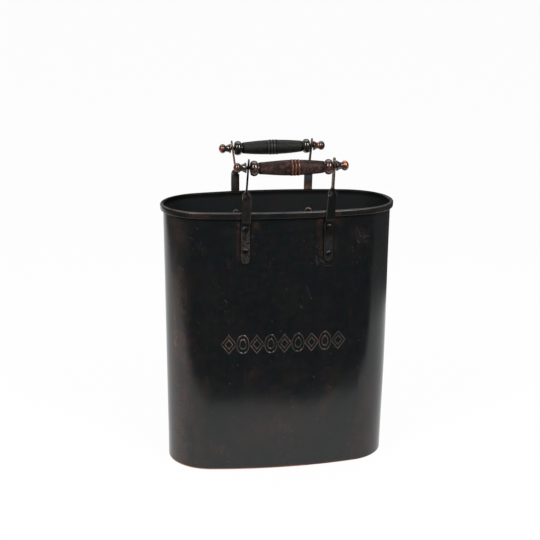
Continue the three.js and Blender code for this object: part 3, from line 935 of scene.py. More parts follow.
def strap_stations(hole_height):
    """Heights along the strap with how wide it is there: rounded at both ends."""
    radius = settings().handles.strap_width / 2
    low, high = settings().body.height - FOOT_DROP, hole_height + EAR_TIP_RISE
    nose = []
    for i in range(NOSE_STEPS):
        angle = mix(NOSE_ANGLE, QUARTER, i / NOSE_STEPS)
        nose.append((radius * (math.cos(NOSE_ANGLE) - math.cos(angle)), math.sin(angle)))
    reach = radius * math.cos(NOSE_ANGLE)
    return (
        [(low + back, wide) for back, wide in nose]
        + [(z, 1.0) for z in stepped(low + reach, high - reach, STRAP_STEP) + [high - reach]]
        + [(high - back, wide) for back, wide in reversed(nose)]
    )


def strap_paint(corner, z, u, pitted, ridged):
    """The paint of a strap: z is its height over the rim in millimetres, and u goes from -1 at its
    left edge to 1 at its right one, as its side is faced."""
    right, left = clamp((u - 0.8) * 6), clamp((-u - 0.8) * 6)
    side = max(right, left)
    ear, tip, foot = ease(z, 26, 34), ease(z, 62, 70), ebb(z, -24, -14)
    # Grime and painted shade where the joggle sits under the rim's overhang.
    grime_and_shade = 0.8 * near(z, -14.5, 7)
    if corner == FRONT_LEFT:
        # The bare copper on the left shoulder and the dust on the right shoulder are painted highlights;
        # the copper down the right edge is wear.
        bare = 0.42 * right * ebb(z, 12, 22) * (1 - foot)
        bare = max(bare, 0.75 * left * near(z, 23, 9), 0.3 * tip, 0.22 * foot * ridged)
        brown = max(0.3, foot * (1 - 0.5 * pitted), 0.6 * ear * right, 0.8 * tip)
        dust_and_sheen = max(foot * (0.14 + 0.5 * ridged), right * near(z, 18, 10))
        patch = near(z, -34, 9) * near(u, -0.1, 0.8)
        grime_and_shade = max(grime_and_shade, foot * clamp(0.12 + 0.6 * pitted + 0.7 * patch) * (1 - 0.7 * ridged))
        # The dark patch at the start of the twist is painted shade over a lamp's reflection.
        grime_and_shade = max(grime_and_shade, 0.75 * ear * (1 - tip), 0.8 * near(z, 22, 7) * near(u, -0.2, 0.9))
        return bare, brown, dust_and_sheen, grime_and_shade
    if corner == FRONT_RIGHT:
        foot = ebb(z, -44, -30)
        # The dust and polish down the left edge are a painted reflection, and glint is a painted
        # highlight at the shoulder.
        left_edge = left * ebb(z, 20, 30) * ease(z, -30, -16)
        glint = left * near(z, 20, 5)
        bare = max(0.14 * left_edge, 0.5 * tip, 0.36 * ear * right)
        brown = max(0.15, ear * right, 0.4 * foot * side, tip)
        dust_and_sheen = max(foot * (0.18 + 0.6 * ridged) * (1 - 0.6 * pitted), left_edge, glint)
        grime_and_shade = max(grime_and_shade, foot * clamp(0.1 + 0.8 * pitted), 0.6 * (1 - foot) * (1 - side) * (1 - ear))
        return bare, brown, dust_and_sheen, grime_and_shade, max(0.3 * ease(z, -4, 2), glint, 0.9 * left_edge)
    grime_and_shade = max(grime_and_shade, foot * clamp(0.1 + 0.8 * pitted))
    if corner == REAR_LEFT:
        at_rim = near(z, -4, 9)
        # pale and shoulder are a painted highlight near the top, in dust, brown, bare copper and polish.
        pale = near(z, 16, 17) ** 0.5 * ease(u, -0.7, 0.4)
        shoulder = near(z, 20, 5) * ease(u, -0.3, 0.6)
        bare = max(0.5 * at_rim, 0.75 * ear * (1 - 0.5 * tip), 0.3 * foot * ridged, 0.3 * pale * right)
        brown = max(0.35, at_rim, pale, 0.6 * foot * side)
        dust_and_sheen = max(0.5 * pale + 0.5 * shoulder, foot * (0.1 + 0.7 * ridged))
        return bare, brown, dust_and_sheen, grime_and_shade, shoulder
    at_rim = ebb(z, 0, 22) * ease(z, -16, -4)
    patch = near(z, 21, 5) * ease(u, -0.3, 0.7)
    bare = max(0.42 * at_rim, 0.45 * tip, 0.2 * ear, 0.3 * foot * ridged)
    brown = max(0.2, at_rim, ear, 0.6 * foot * side)
    dull = 0.9 * (1 - at_rim) * (1 - ear) * (1 - foot)
    return bare, brown, max(dull, 0.5 * at_rim, foot * (0.1 + 0.7 * ridged)), grime_and_shade, patch


# How deeply the feet of the straps are pitted, as a share
PITTING = {FRONT_LEFT: 1.0, FRONT_RIGHT: 0.35, REAR_LEFT: 0.5, REAR_RIGHT: 0.7}
PIT_DEPTH = 0.4 * MM
RIDGE_RISE = 0.12 * MM
EDGE_WAVE = 0.2 * MM
STRAP_THIN_SHARE = 0.55
STRAP_THIN_REACH = 1.1 * MM
BORE_STEPS = 40


class BASKET_OT_straps(bpy.types.Operator):
    """Build the four joggled and twisted straps"""

    bl_idname = "basket.straps"
    bl_label = "Straps"

    def execute(self, context):
        for number, corner in enumerate(CORNERS):
            self.build(corner, number)
        return {"FINISHED"}

    def build(self, corner, number):
        side, hand, turn = side_of(corner)
        places = strap_places(side, hand)
        foot, _, hole, _, ear_turn = places
        form = WallForm(settings().body)
        handles = settings().handles
        half_width, half = handles.strap_width / 2, handles.strap_thickness / 2
        low, high = form.height - FOOT_DROP, hole.z + EAR_TIP_RISE
        twist_low = form.height + TWIST_RISE
        rows, outline = strap_stations(hole.z), strap_outline()
        points, paints = [], []
        for z, wide in rows:
            middle = strap_middle(form, places, z)
            way = strap_middle(form, places, z + SEAT_GAP) - strap_middle(form, places, z - SEAT_GAP)
            way.normalize()
            share = ease(z, twist_low, twist_low + TWIST_LENGTH)
            angle = mix(form.side_turn(foot, z), -ear_turn, share)
            across = Vector((math.cos(angle), math.sin(angle), 0))
            across = (across - way * across.dot(way)).normalized()
            through = way.cross(across)
            end = clamp(min(z - low, high - z) / STRAP_THIN_REACH)
            thin = mix(STRAP_THIN_SHARE, 1.0, math.sqrt(end))
            above = z - form.height
            worn = ebb(above, -30 * MM, -12 * MM) * ease(z, low, low + 4 * MM) * PITTING[corner]
            for x, y in outline:
                u, v = x / half_width, y / half
                place = middle + across * x * wide + through * y * thin
                dent = wander(x * 190 + number * 7, v, z * 150) * handles.hammering
                edge = wander(number * 9 + math.copysign(3, x), v, z * 130)
                place += through * dent * math.copysign(0.6, y)
                place += across * edge * EDGE_WAVE * math.copysign(abs(u) ** 3, x)
                grain = wander(x * 680 + number * 5, v * 0.3, z * 640)
                grain += 0.6 * wander(x * 1100, v * 0.3, z * 1100 + number)
                pitted, ridged = ease(grain, 0.02, 0.3) * worn, ease(-grain, 0.05, 0.35) * worn
                if v < -0.3:
                    place += through * (pitted * PIT_DEPTH - ridged * RIDGE_RISE)
                points.append(turn @ place)
                paints.append(strap_paint(corner, above / MM, u, pitted, ridged))
        count, last = len(outline), (len(rows) - 1) * len(outline)
        faces = loop_faces(len(rows), count, False)
        for ring in (list(range(count))[::-1], list(range(last, last + count))):
            middle = sum((points[i] for i in sorted(ring)), Vector()) / count
            capped(points, faces, ring, middle)
            paints.append(())
        piece = new_piece(f"{corner}_bar", points, faces, "strap", paints)
        bore(piece, turn @ hole, turn.to_3x3() @ axis_way(side), ROD_RADIUS + SEAT_GAP)
        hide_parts(f"{corner}_strap")


def bore(piece, place, way, radius):
    """Cuts a round hole through a piece."""
    reach = settings().handles.strap_width
    profile = [(0, -reach), (radius, -reach), (radius, reach), (0, reach)]
    mesh = new_mesh("drill", *revolve(profile, BORE_STEPS, axis_matrix(place, way)))
    turn_outwards(mesh)
    drill = new_object("drill", mesh)
    cutting = piece.modifiers.new("bore", "BOOLEAN")
    cutting.object = drill
    cutting.operation = "DIFFERENCE"
    cutting.solver = "EXACT"
    scene_graph = bpy.context.evaluated_depsgraph_get()
    result = bpy.data.meshes.new_from_object(piece.evaluated_get(scene_graph))
    piece.modifiers.clear()
    piece.data = result
    bpy.data.objects.remove(drill)
    bpy.data.meshes.remove(mesh)


def rivet_matrix(corner, z):
    """A rivet's frame: its origin on the wall's outer face and its Z outwards."""
    side, hand, turn = side_of(corner)
    form = WallForm(settings().body)
    foot = strap_places(side, hand)[0]
    angle = form.side_turn(foot, z)
    outward = Vector((math.sin(angle), -math.cos(angle), 0))
    return turn @ axis_matrix(Vector((foot, -form.side_face(foot, z), z)), outward)


RIVET_STEPS = 56
HEAD_STEPS = 14
SKIRT = 0.35 * MM
# The painted highlight arc on each rivet's outer head, partly rubbed copper: the way it lies from the
# middle, to the right and up, and its bare copper, brown, dust and polish
RIVET_ARCS = {
    "front_left_upper": ((-0.8, 0.6), 0.2, 0.2, 1.0, 0.7),
    "front_left_lower": ((0.1, 1.0), 0.24, 1.0, 0.4, 0.0),
    "front_right_upper": ((0.2, 1.0), 0.1, 0.4, 0.5, 0.0),
    "front_right_lower": ((-0.3, 0.9), 0.14, 0.2, 0.8, 0.1),
    "rear_left_upper": ((-0.3, 0.9), 0.1, 0.4, 0.5, 0.3),
    "rear_left_lower": ((0.2, 0.9), 0.3, 0.9, 0.2, 0.2),
    "rear_right_upper": ((0.4, 0.9), 0.16, 0.5, 0.4, 0.5),
    "rear_right_lower": ((-0.1, 0.9), 0.2, 0.6, 0.6, 0.1),
}


def rivet_paint(node, place):
    """The paint of a rivet at a place in its own frame: painted dark shade, with an arc of painted
    highlight that is partly rubbed copper.
    """
    away = math.hypot(place.x, place.y)
    if place.z < 0:
        # The inner head: a painted highlight ring near its edge, with painted shade inside it.
        ring = near(away / INNER_HEAD_RADIUS, 0.9, 0.3) ** 0.5
        strength = 0.3 if node.startswith(REAR_LEFT) else 0.5
        return strength * ring, ring, 0.4 * ring, 0.6 * (1 - ring), 0.0
    way, bare, brown, dust_and_sheen, polish = RIVET_ARCS[node.rsplit("_", 1)[0]]
    turned = (place.x * way[0] + place.y * way[1]) / max(away * math.hypot(*way), 1e-9)
    arc_share = ease(turned, 0.25, 0.8) * near(away / OUTER_HEAD_RADIUS, 0.78, 0.34) ** 0.7
    # The rest of the outer dome is painted dark as shade.
    dark = 0.75 * (1 - arc_share)
    return bare * arc_share, max(0.2, brown * arc_share), dust_and_sheen * arc_share, dark, polish * arc_share


class BASKET_OT_rivets(bpy.types.Operator):
    """Build the hammered rivets"""

    bl_idname = "basket.rivets"
    bl_label = "Rivets"

    def execute(self, context):
        for number, node in enumerate(RIVETS):
            self.build(node, number)
        return {"FINISHED"}

    def build(self, node, number):
        inner_seat = -settings().body.sheet - SEAT_GAP
        outer_seat = SEAT_GAP + settings().handles.strap_thickness + SEAT_GAP
        hammering = settings().handles.hammering
        low, high = inner_seat - SKIRT, outer_seat + SKIRT
        foot = arc(0, low, INNER_HEAD_RADIUS, INNER_HEAD_RISE - SKIRT, -QUARTER, 0, HEAD_STEPS)
        dome = arc(0, high, OUTER_HEAD_RADIUS, OUTER_HEAD_RISE - SKIRT, 0, QUARTER, HEAD_STEPS)
        profile = [
            (0, foot[0][1]), *foot[1:],
            (INNER_HEAD_RADIUS - SKIRT * 0.6, inner_seat), (SHANK_RADIUS, inner_seat),
            (SHANK_RADIUS, outer_seat), (OUTER_HEAD_RADIUS - SKIRT, outer_seat - SEAT_GAP * 0.8),
            *dome[:-1], (0, dome[-1][1]),
        ]

        def shape(point):
            bump = wander(point.x * 330 + number * 5, point.y * 330, point.z * 200) * hammering * 1.7
            swell = 1 + 0.05 * wander(math.atan2(point.y, point.x), number * 3, 1)
            return Vector((point.x * swell, point.y * swell, point.z + bump * (point.z > outer_seat)))

        matrix = rivet_matrix(node.rsplit("_", 2)[0], RIVETS[node].z)
        points, faces = revolve(profile, RIVET_STEPS, matrix, shape)
        inverse = matrix.inverted()
        paints = [rivet_paint(node, inverse @ point) for point in points]
        piece = new_piece(f"{node}_head", points, faces, "rivet", paints)
        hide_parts(node)


def slant_room(radius):
    """What the slant of the ears takes up at a radius from the rod."""
    slants = []
    for corner in CORNERS:
        side, hand, _ = side_of(corner)
        _, _, _, lean, turn = strap_places(side, hand)
        slants.append(math.hypot(lean, math.tan(turn - QUARTER)))
    return radius * max(slants) + SEAT_GAP


def finial_seat():
    return EAR_HALF_SPAN + settings().handles.strap_thickness / 2 + slant_room(FINIAL_BOSS_RADIUS)


def handle_matrix(name, along, hand=1, drop=0.0):
    """A frame on a handle's axis, its Z along the axis towards that hand."""
    side, _, turn = side_of(f"{name}_left")
    place = axis_place(side, along) - Vector((0, 0, drop))
    return turn @ axis_matrix(place, axis_way(side) * hand)


GRIP_STEPS = 112
GRIP_STEP = 0.55 * MM
GRIP_DENT = 0.09 * MM
# How soft the swell of each grip's left half is, and where its dents start in the noise
GRIPS = {"front": (0.45, 3), "rear": (0.0, 8)}
COLLAR_STEPS = 20
COLLAR_PLACE = 49 * MM
COVE_PLACE = 42.5 * MM


def swell_radius(along, cove_end, soft_share):
    """The barrel's radius at a place: a parabola, mixed with a softer cosine."""
    part = abs(along) / cove_end
    plain = mix(BARREL_RADIUS, BARREL_END_RADIUS, part ** 2)
    soft = mix(BARREL_END_RADIUS, BARREL_RADIUS, (1 + math.cos(math.pi * min(part, 1))) / 2)
    return mix(plain, soft, soft_share if along < 0 else 0)


def grip_profile(side, bore_radius, soft_share):
    """The grip's section from one end to the other, closed through its bore."""
    ear_inner = EAR_HALF_SPAN - settings().handles.strap_thickness / 2
    hub_end = ear_inner - slant_room(HUB_RADIUS)
    collar_end = hub_end - HUB_LENGTH
    collar_middle = collar_end - COLLAR_LENGTH / 2
    cove_end = collar_end - COLLAR_LENGTH - COVE_LENGTH
    bead_half = BEAD_PITCH * BEAD_SHARE / 2

    def radius(along):
        value = swell_radius(along, cove_end, soft_share)
        for i in range(BEAD_COUNT):
            place = side["bead_shift"] + (i - (BEAD_COUNT - 1) / 2) * BEAD_PITCH
            part = (along - place) / bead_half
            if abs(part) < 1:
                return value + BEAD_RISE * math.sqrt(1 - part ** 2) ** 0.8
        first = side["bead_shift"] - BEAD_COUNT * BEAD_PITCH / 2
        if first < along < first + BEAD_COUNT * BEAD_PITCH:
            value -= BEAD_RISE * 0.55
        return value

    def collar(place):
        rise, half = COLLAR_RADIUS - COLLAR_FACE_RADIUS, COLLAR_LENGTH / 2
        return arc(COLLAR_FACE_RADIUS, place, rise, half, -QUARTER, QUARTER, COLLAR_STEPS)

    barrel = stepped(-cove_end, cove_end, GRIP_STEP) + [cove_end]
    return [
        (bore_radius, -hub_end), (HUB_RADIUS, -hub_end), (HUB_RADIUS, -collar_end),
        *collar(-collar_middle), (COVE_RADIUS, -cove_end - COVE_LENGTH / 2),
        *((radius(along), along) for along in barrel),
        (COVE_RADIUS, cove_end + COVE_LENGTH / 2), *collar(collar_middle),
        (HUB_RADIUS, collar_end), (HUB_RADIUS, hub_end), (bore_radius, hub_end),
        (bore_radius, -hub_end),
    ]


class BASKET_OT_grips(bpy.types.Operator):
    """Build the two turned grips"""

    bl_idname = "basket.grips"
    bl_label = "Grips"

    def execute(self, context):
        for name in GRIPS:
            self.build(name)
        return {"FINISHED"}

    def build(self, name):
        side = SIDES[name]
        soft_share, start = GRIPS[name]
        profile = grip_profile(side, ROD_RADIUS + side["grip_sag"] + SEAT_GAP, soft_share)
        matrix = handle_matrix(name, 0, 1, side["grip_sag"])

        def shape(point):
            radius = math.hypot(point.x, point.y)
            if radius <= HUB_RADIUS:
                return point
            dent = wander(point.x * 90, point.y * 90, point.z * 60 + start)
            return point + Vector((point.x, point.y, 0)) * (dent * GRIP_DENT / radius)

        points, faces = revolve(profile, GRIP_STEPS, matrix, shape)
        paints, inverse = [], matrix.inverted()
        for point in points:
            x, y, along = inverse @ point
            facing = (matrix.to_3x3() @ Vector((x, y, 0))) / max(math.hypot(x, y), 1e-6)
            along *= 1 if name == "front" else -1
            paints.append(grip_paint(name, point, along, facing, side))
        finish = body = f"{name}_grip"
        piece = new_piece(f"{name}_handle_grip", points, faces, finish, paints, body)
        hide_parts(f"{name}_grip")


def grip_paint(name, point, along, facing, side):
    """The paint of a grip at a place along it, where it faces a way."""
    bead = groove = 0.0
    for i in range(BEAD_COUNT + 1):
        place = side["bead_shift"] + (i - BEAD_COUNT / 2) * BEAD_PITCH
        groove = max(groove, near(along, place, 1.3 * MM))
        if i < BEAD_COUNT:
            bead = max(bead, near(along, place + BEAD_PITCH / 2, 1.5 * MM))
    collar = max(near(along, COLLAR_PLACE, 6 * MM), near(along, -COLLAR_PLACE, 6 * MM)) ** 0.3
    cove = max(near(along, COVE_PLACE, 2.2 * MM), near(along, -COVE_PLACE, 2.2 * MM))
    polish = 0.95 * collar + 0.25 * bead
    if name == "rear":
        brown = 0.15 + 0.3 * ease(along, 0, 30 * MM) + 0.5 * near(along, COLLAR_PLACE - 2 * MM, 5 * MM)
        bare = max(0.05 * ease(along, 10 * MM, 40 * MM), 0.2 * bead)
        worn = clamp(0.8 + 2.4 * wander(point.x * 90, point.y * 260, point.z * 260))
        # Dust, lighter on the upper side as a painted sheen, and painted highlights along the bead
        # crests.
        dust_and_sheen = max(0.34 * worn * ease(facing.z, -0.7, 0.6) * (1 - collar), 0.9 * bead)
        # Painted shade in the grooves between the beads and in the coves by the collars.
        return bare, brown, dust_and_sheen, max(0.6 * groove, 0.8 * cove), polish
    cloud = wander(point.x * 110, point.y * 150, point.z * 150) + 0.12
    patch = wander(point.x * 260, point.y * 260, point.z * 260 + 3)
    left = near(along, -34 * MM, 18 * MM) * max(cloud, 0) * 2
    right = near(along, 17 * MM, 13 * MM) * ease(patch, 0.0, 0.35)
    ahead = ease(-facing.y, 0.3, 0.85)
    left_spot = near(along, -COLLAR_PLACE + 0.3 * MM, 2.4 * MM) * ahead
    right_spot = near(along, COLLAR_PLACE - 0.8 * MM, 3.2 * MM) * ahead
    right_ring = near(along, COVE_PLACE + 1.6 * MM, 2.4 * MM)
    bare = max(
        0.55 * bead, 0.5 * left, 0.36 * right, 0.5 * left_spot, 0.5 * right_spot, 0.5 * right_ring,
    )
    brown = clamp(bead + left + right + left_spot + right_spot + right_ring + 2.2 * cloud)
    bald = clamp(bead + left_spot + right_ring)
    # Painted shade in the grooves and coves, left off where the copper is bald.
    return bare, brown, 0.0, max(0.35 * groove, 0.6 * cove) * (1 - bald), polish


ROD_STEPS = 40
ROD_BEVEL = 0.3 * MM


class BASKET_OT_tie_rods(bpy.types.Operator):
    """Build the two tie rods"""

    bl_idname = "basket.tie_rods"
    bl_label = "Tie rods"

    def execute(self, context):
        shoulder = finial_seat() - SEAT_GAP
        end = shoulder + STUB_LENGTH
        half = [
            (ROD_RADIUS, shoulder - ROD_BEVEL), (ROD_RADIUS - ROD_BEVEL, shoulder),
            (STUB_RADIUS, shoulder), (STUB_RADIUS, end - ROD_BEVEL), (STUB_RADIUS - ROD_BEVEL, end),
            (0, end),
        ]
        profile = [(radius, -along) for radius, along in reversed(half)] + half
        for name in SIDES:
            points, faces = revolve(profile, ROD_STEPS, handle_matrix(name, 0))
            piece = new_piece(f"{name}_rod", points, faces, "rod")
            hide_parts(f"{name}_tie_rod")
        return {"FINISHED"}


FINIAL_STEPS = 72
FINIAL_FLARE_STEPS = 14
BALL_STEPS = 26
FINIAL_EDGE = 0.22 * MM
# Which way each finial is rubbed back to copper, and how far
FINIAL_RUBS = {
    FRONT_LEFT: ((-0.9, -0.2, 0.2), 0.5),
    FRONT_RIGHT: ((0.7, -0.25, 0.6), 0.7),
    REAR_LEFT: ((-0.95, -0.3, 0.1), 0.5),
    REAR_RIGHT: ((-0.7, -0.3, 0.2), 0.42),
}


def finial_profile():
    """The finial's section from its bore's end to the tip of its ball, flared at its foot."""
    boss = slant_room(FINIAL_FOOT_RADIUS) - slant_room(FINIAL_BOSS_RADIUS)
    bore_radius = STUB_RADIUS + SEAT_GAP
    ball_place = boss + FINIAL_LENGTH - BALL_HALF_LENGTH
    neck_turn = -math.acos(FINIAL_NECK_RADIUS / BALL_RADIUS)
    foot = (FINIAL_FOOT_RADIUS, boss + FINIAL_LIP)
    neck = (FINIAL_NECK_RADIUS, boss + FINIAL_NECK_PLACE)
    waist = (FINIAL_WAIST_RADIUS, boss + FINIAL_NECK_PLACE / 2)
    shares = [i / FINIAL_FLARE_STEPS for i in range(1, FINIAL_FLARE_STEPS + 1)]
    flare = [
        tuple(mix(mix(foot[k], waist[k], s), mix(waist[k], neck[k], s), s) for k in (0, 1))
        for s in shares
    ]
    ball = arc(0, ball_place, BALL_RADIUS, BALL_HALF_LENGTH, neck_turn, QUARTER, BALL_STEPS)
    return [
        (0, STUB_LENGTH), (bore_radius, STUB_LENGTH), (bore_radius, 0), (FINIAL_BOSS_RADIUS, 0),
        (FINIAL_BOSS_RADIUS, boss), (FINIAL_FOOT_RADIUS - FINIAL_EDGE, boss),
        (FINIAL_FOOT_RADIUS, boss + FINIAL_EDGE),
        (FINIAL_FOOT_RADIUS, boss + FINIAL_LIP - FINIAL_EDGE),
        *flare, *ball[:-1], (0, ball[-1][1]),
    ]


class BASKET_OT_finials(bpy.types.Operator):
    """Build the four turned finials"""

    bl_idname = "basket.finials"
    bl_label = "Finials"

    def execute(self, context):
        for corner in CORNERS:
            _, hand, _ = side_of(corner)
            matrix = handle_matrix(corner.split("_")[0], hand * finial_seat(), hand)
            points, faces = revolve(finial_profile(), FINIAL_STEPS, matrix)
            way, strength = FINIAL_RUBS[corner]
            way = Vector(way).normalized()
            ball = matrix @ Vector((0, 0, FINIAL_LENGTH - BALL_HALF_LENGTH))
            paints = []
            for point in points:
                share = (point - ball).normalized().dot(way)
                on_ball = ebb((point - ball).length, BALL_RADIUS, BALL_RADIUS * 1.5)
                bare = strength * ease(share, -0.2, 0.7) * mix(0.5, 1, on_ball)
                paints.append((bare, 0.7, 0.0, 0.0, 1.0))
            piece = new_piece(f"{corner}_knob", points, faces, "finial", paints)
            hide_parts(f"{corner}_finial")
        return {"FINISHED"}


# Finishes


class Value:
    """A node's output that sums can be made with."""

    def __init__(self, graph, socket):
        self.graph, self.socket = graph, socket

    def __add__(self, other):
        return self.graph.math("ADD", self, other)

    def __sub__(self, other):
        return self.graph.math("SUBTRACT", self, other)

    def __rsub__(self, other):
        return self.graph.math("SUBTRACT", other, self)

    def __mul__(self, other):
        return self.graph.math("MULTIPLY", self, other)

    def clamped(self):
        """The same sum, kept from 0 to 1."""
        self.socket.node.use_clamp = True
        return self


class Graph:
    """Adds nodes to one tree and wires them."""

    def __init__(self, tree):
        self.tree = tree

    def add(self, kind, inputs=None, **values):
        """A new node with its values set and its inputs fed, by name or by number."""
        node = self.tree.nodes.new(kind)
        for label, value in values.items():
            setattr(node, label, value)
        self.feed(node, inputs or {})
        return node

    def feed(self, node, inputs):
        for label, value in inputs.items():
            if isinstance(value, Value):
                self.tree.links.new(value.socket, node.inputs[label])
            elif value is not None:
                node.inputs[label].default_value = value

    def outputs(self, node):
        return {socket.name: Value(self, socket) for socket in node.outputs}

    def take(self, output, kind, inputs=None, **values):
        """One output of a new node."""
        return Value(self, self.add(kind, inputs, **values).outputs[output])

    def math(self, operation, one, two=None):
        return self.take(0, "ShaderNodeMath", {0: one, 1: two}, operation=operation)

    def vector(self, operation, one, two):
        inputs = {0: one, ("Scale" if operation == "SCALE" else 1): two}
        return self.take(0, "ShaderNodeVectorMath", inputs, operation=operation)

    def step(self, value, low, high, start=0.0, end=1.0):
        inputs = {"Value": value, "From Min": low, "From Max": high, "To Min": start, "To Max": end}
        return self.take("Result", "ShaderNodeMapRange", inputs, interpolation_type="SMOOTHSTEP")

    def blend(self, share, one, two):
        return self.take(2, "ShaderNodeMix", {0: share, 6: one, 7: two}, data_type="RGBA")

    def lerp(self, share, one, two):
        return self.take(0, "ShaderNodeMix", {0: share, 2: one, 3: two}, data_type="FLOAT")

    def noise(self, place, scale, detail=3.0, roughness=0.55, output="Fac"):
        inputs = {"Vector": place, "Scale": scale, "Detail": detail, "Roughness": roughness}
        return self.take(output, "ShaderNodeTexNoise", inputs)

    def strays(self, place, scale, reach, detail):
        """Three numbers about 0 that stray by themselves from place to place."""
        colour = self.noise(place, scale, detail, 0.5, "Color")
        return self.vector("SCALE", self.vector("SUBTRACT", colour, (0.5, 0.5, 0.5)), reach)

    def bend(self, place, scale, reach):
        """The place, pushed about by a slow noise."""
        return self.vector("ADD", place, self.strays(place, scale, reach, 2.0))

    def tint(self, colour, place, scale, spread):
        """A colour whose three parts stray by themselves from place to place."""
        factor = self.vector("ADD", self.strays(place, scale, spread, 5.0), (1.0, 1.0, 1.0))
        return self.vector("MULTIPLY", colour, factor)

    def stretch(self, place, scale, turn=0.0):
        inputs = {"Vector": place, "Scale": scale, "Rotation": (0.0, turn, 0.0)}
        return self.take(0, "ShaderNodeMapping", inputs)

    def attribute(self, label):
        return self.take("Fac", "ShaderNodeAttribute", attribute_name=label)

    def place(self):
        return self.take("Object", "ShaderNodeTexCoord")


COLOURS = ("Oxide", "Brown", "Copper", "Dust_and_sheen")


def shared_group(label, build):
    """The node group of that name, which is built when it is first needed."""
    return bpy.data.node_groups.get(label) or build(label)


def new_group(label, colours, numbers, colours_out, numbers_out):
    """A new shader node group with its sockets, as its graph and its inputs by name."""
    tree = bpy.data.node_groups.new(label, "ShaderNodeTree")
    sockets = [(name, "INPUT", "NodeSocketColor") for name in colours]
    sockets += [(name, "INPUT", "NodeSocketFloat") for name in numbers]
    sockets += [(name, "OUTPUT", "NodeSocketColor") for name in colours_out]
    sockets += [(name, "OUTPUT", "NodeSocketFloat") for name in numbers_out]
    for name, way, kind in sockets:
        socket = tree.interface.new_socket(name=name, in_out=way, socket_type=kind)
        if way == "INPUT" and name in numbers:
            socket.default_value = numbers[name]
    graph = Graph(tree)
    return graph, graph.outputs(graph.add("NodeGroupInput"))


SPECK_PALE = (0.3, 0.27, 0.24, 1.0)
# Near-black of grime and painted shade
GRIME_AND_SHADE = (0.006, 0.006, 0.0058, 1.0)
POLISHED = 0.13
DULL = 0.55
SPECK_SCALE = 170.0
SPECK_SIZE = 0.12


def patina_group(label):
    """Darkened copper: clouds of brown in a near-black oxide, and bare copper where it is worn. The dust
    paint also carries painted sheen, and the grime paint carries painted shade.
    """
    numbers = {
        "Edge Low": 200.0, "Edge High": 1500.0, "Edge Wear": 0.6, "Cloud Scale": 16.0,
        "Cloud Brown": 0.3, "Grain Scale": 260.0, "Seed": 0.0, "Oxide Roughness": 0.26,
        "Copper Roughness": 0.3, "Brushing": 0.0, "Specks": 0.0, "Rough Grain": 0.16,
        "Hue Spread": 1.3,
    }
    results = ("Metallic", "Roughness", "Height", "Polish")
    graph, given = new_group(label, COLOURS, numbers, ("Color",), results)
    painted = {paint: graph.attribute(paint) for paint in (*PAINTS, "edge")}
    dust_and_sheen, grime_and_shade = painted["dust_and_sheen"], painted["grime_and_shade"]
    place = graph.vector("ADD", graph.place(), given["Seed"])
    bent = graph.bend(place, 24.0, 0.02)
    clouds = graph.noise(bent, given["Cloud Scale"], 6.0, 0.62)
    blots = graph.noise(bent, given["Cloud Scale"] * 3.7, 5.0, 0.62)
    grain = graph.noise(place, given["Grain Scale"], 4.0, 0.65)
    flecks = graph.noise(place, 1100.0, 2.0, 0.5)
    streaks = graph.noise(graph.stretch(place, (1.0, 1.0, 0.06)), 420.0, 3.0, 0.6)
    brushed = graph.noise(graph.stretch(place, (0.05, 0.05, 1.0)), 520.0, 3.0, 0.6)
    brushed = (brushed - 0.5) * given["Brushing"]

    edge = graph.step(painted["edge"], given["Edge Low"], given["Edge High"])
    worn = painted["wear"] + edge * given["Edge Wear"]
    level = worn + ((grain - 0.5) * 0.9 + (clouds - 0.5) * 0.7)
    bare = graph.step(level, 0.34, 0.78) * graph.step(worn, 0.03, 0.2)

    blotched = graph.step(clouds, 0.4, 0.64) + graph.step(blots, 0.42, 0.64)
    browned = painted["brown"] * graph.step(blots, 0.36, 0.58, 0.22, 0.8)
    rubbed = browned + blotched * (given["Cloud Brown"] * 0.5)
    rubbed = (rubbed * graph.step(streaks, 0.3, 0.62, 0.55, 1.0)).clamped()
    rubbed = (rubbed * graph.step(grain, 0.3, 0.6, 0.6, 1.0)).clamped()
    rubbed = (rubbed + graph.step(flecks, 0.7, 0.78) * 0.35).clamped()
    rubbed = (rubbed + brushed).clamped()

    oxide = graph.tint(given["Oxide"], bent, 120.0, given["Hue Spread"])
    under = graph.blend(dust_and_sheen, graph.blend(rubbed, oxide, given["Brown"]), given["Dust_and_sheen"])
    tarnish = graph.step(grain, 0.35, 0.7, 0.0, 0.45)
    colour = graph.blend(bare, under, graph.blend(tarnish, given["Copper"], given["Brown"]))
    cells = graph.outputs(graph.add("ShaderNodeTexVoronoi", {"Vector": place, "Scale": SPECK_SCALE}))
    chance = graph.outputs(graph.add("ShaderNodeSeparateColor", {"Color": cells["Color"]}))
    size = chance["Red"] * SPECK_SIZE
    speck = 1.0 - graph.step(cells["Distance"], size * 0.5, size)
    speck_colour = graph.blend(graph.step(chance["Green"], 0.1, 0.4), given["Copper"], SPECK_PALE)
    colour = graph.blend(speck * given["Specks"], colour, speck_colour)

    polish = (painted["polish"] - grime_and_shade).clamped()
    rough = graph.lerp(bare, given["Oxide Roughness"], given["Copper Roughness"])
    for share, goal in ((dust_and_sheen, DULL), (polish, POLISHED), (grime_and_shade, DULL)):
        rough = graph.lerp(share, rough, goal)
    rough = rough + (grain - 0.5) * given["Rough Grain"]
    # Grime and painted shade turn near-black, dull and metallic, so reflections there go dark too.
    graph.add("NodeGroupOutput", {
        "Color": graph.blend(grime_and_shade, colour, GRIME_AND_SHADE),
        "Metallic": graph.lerp(grime_and_shade, bare * 0.8, 1.0),
        "Roughness": (rough + (blots - 0.5) * 0.12).clamped(),
        "Height": grain * 0.6 + bare * -0.35 + streaks * 0.3 + brushed * 1.5,
        "Polish": polish,
    })
    return graph.tree


# The ways that the fine scratches run: how far they turn, and how much they are drawn out
SCRATCH_WAYS = ((0.35, 0.05), (-0.9, 0.07))


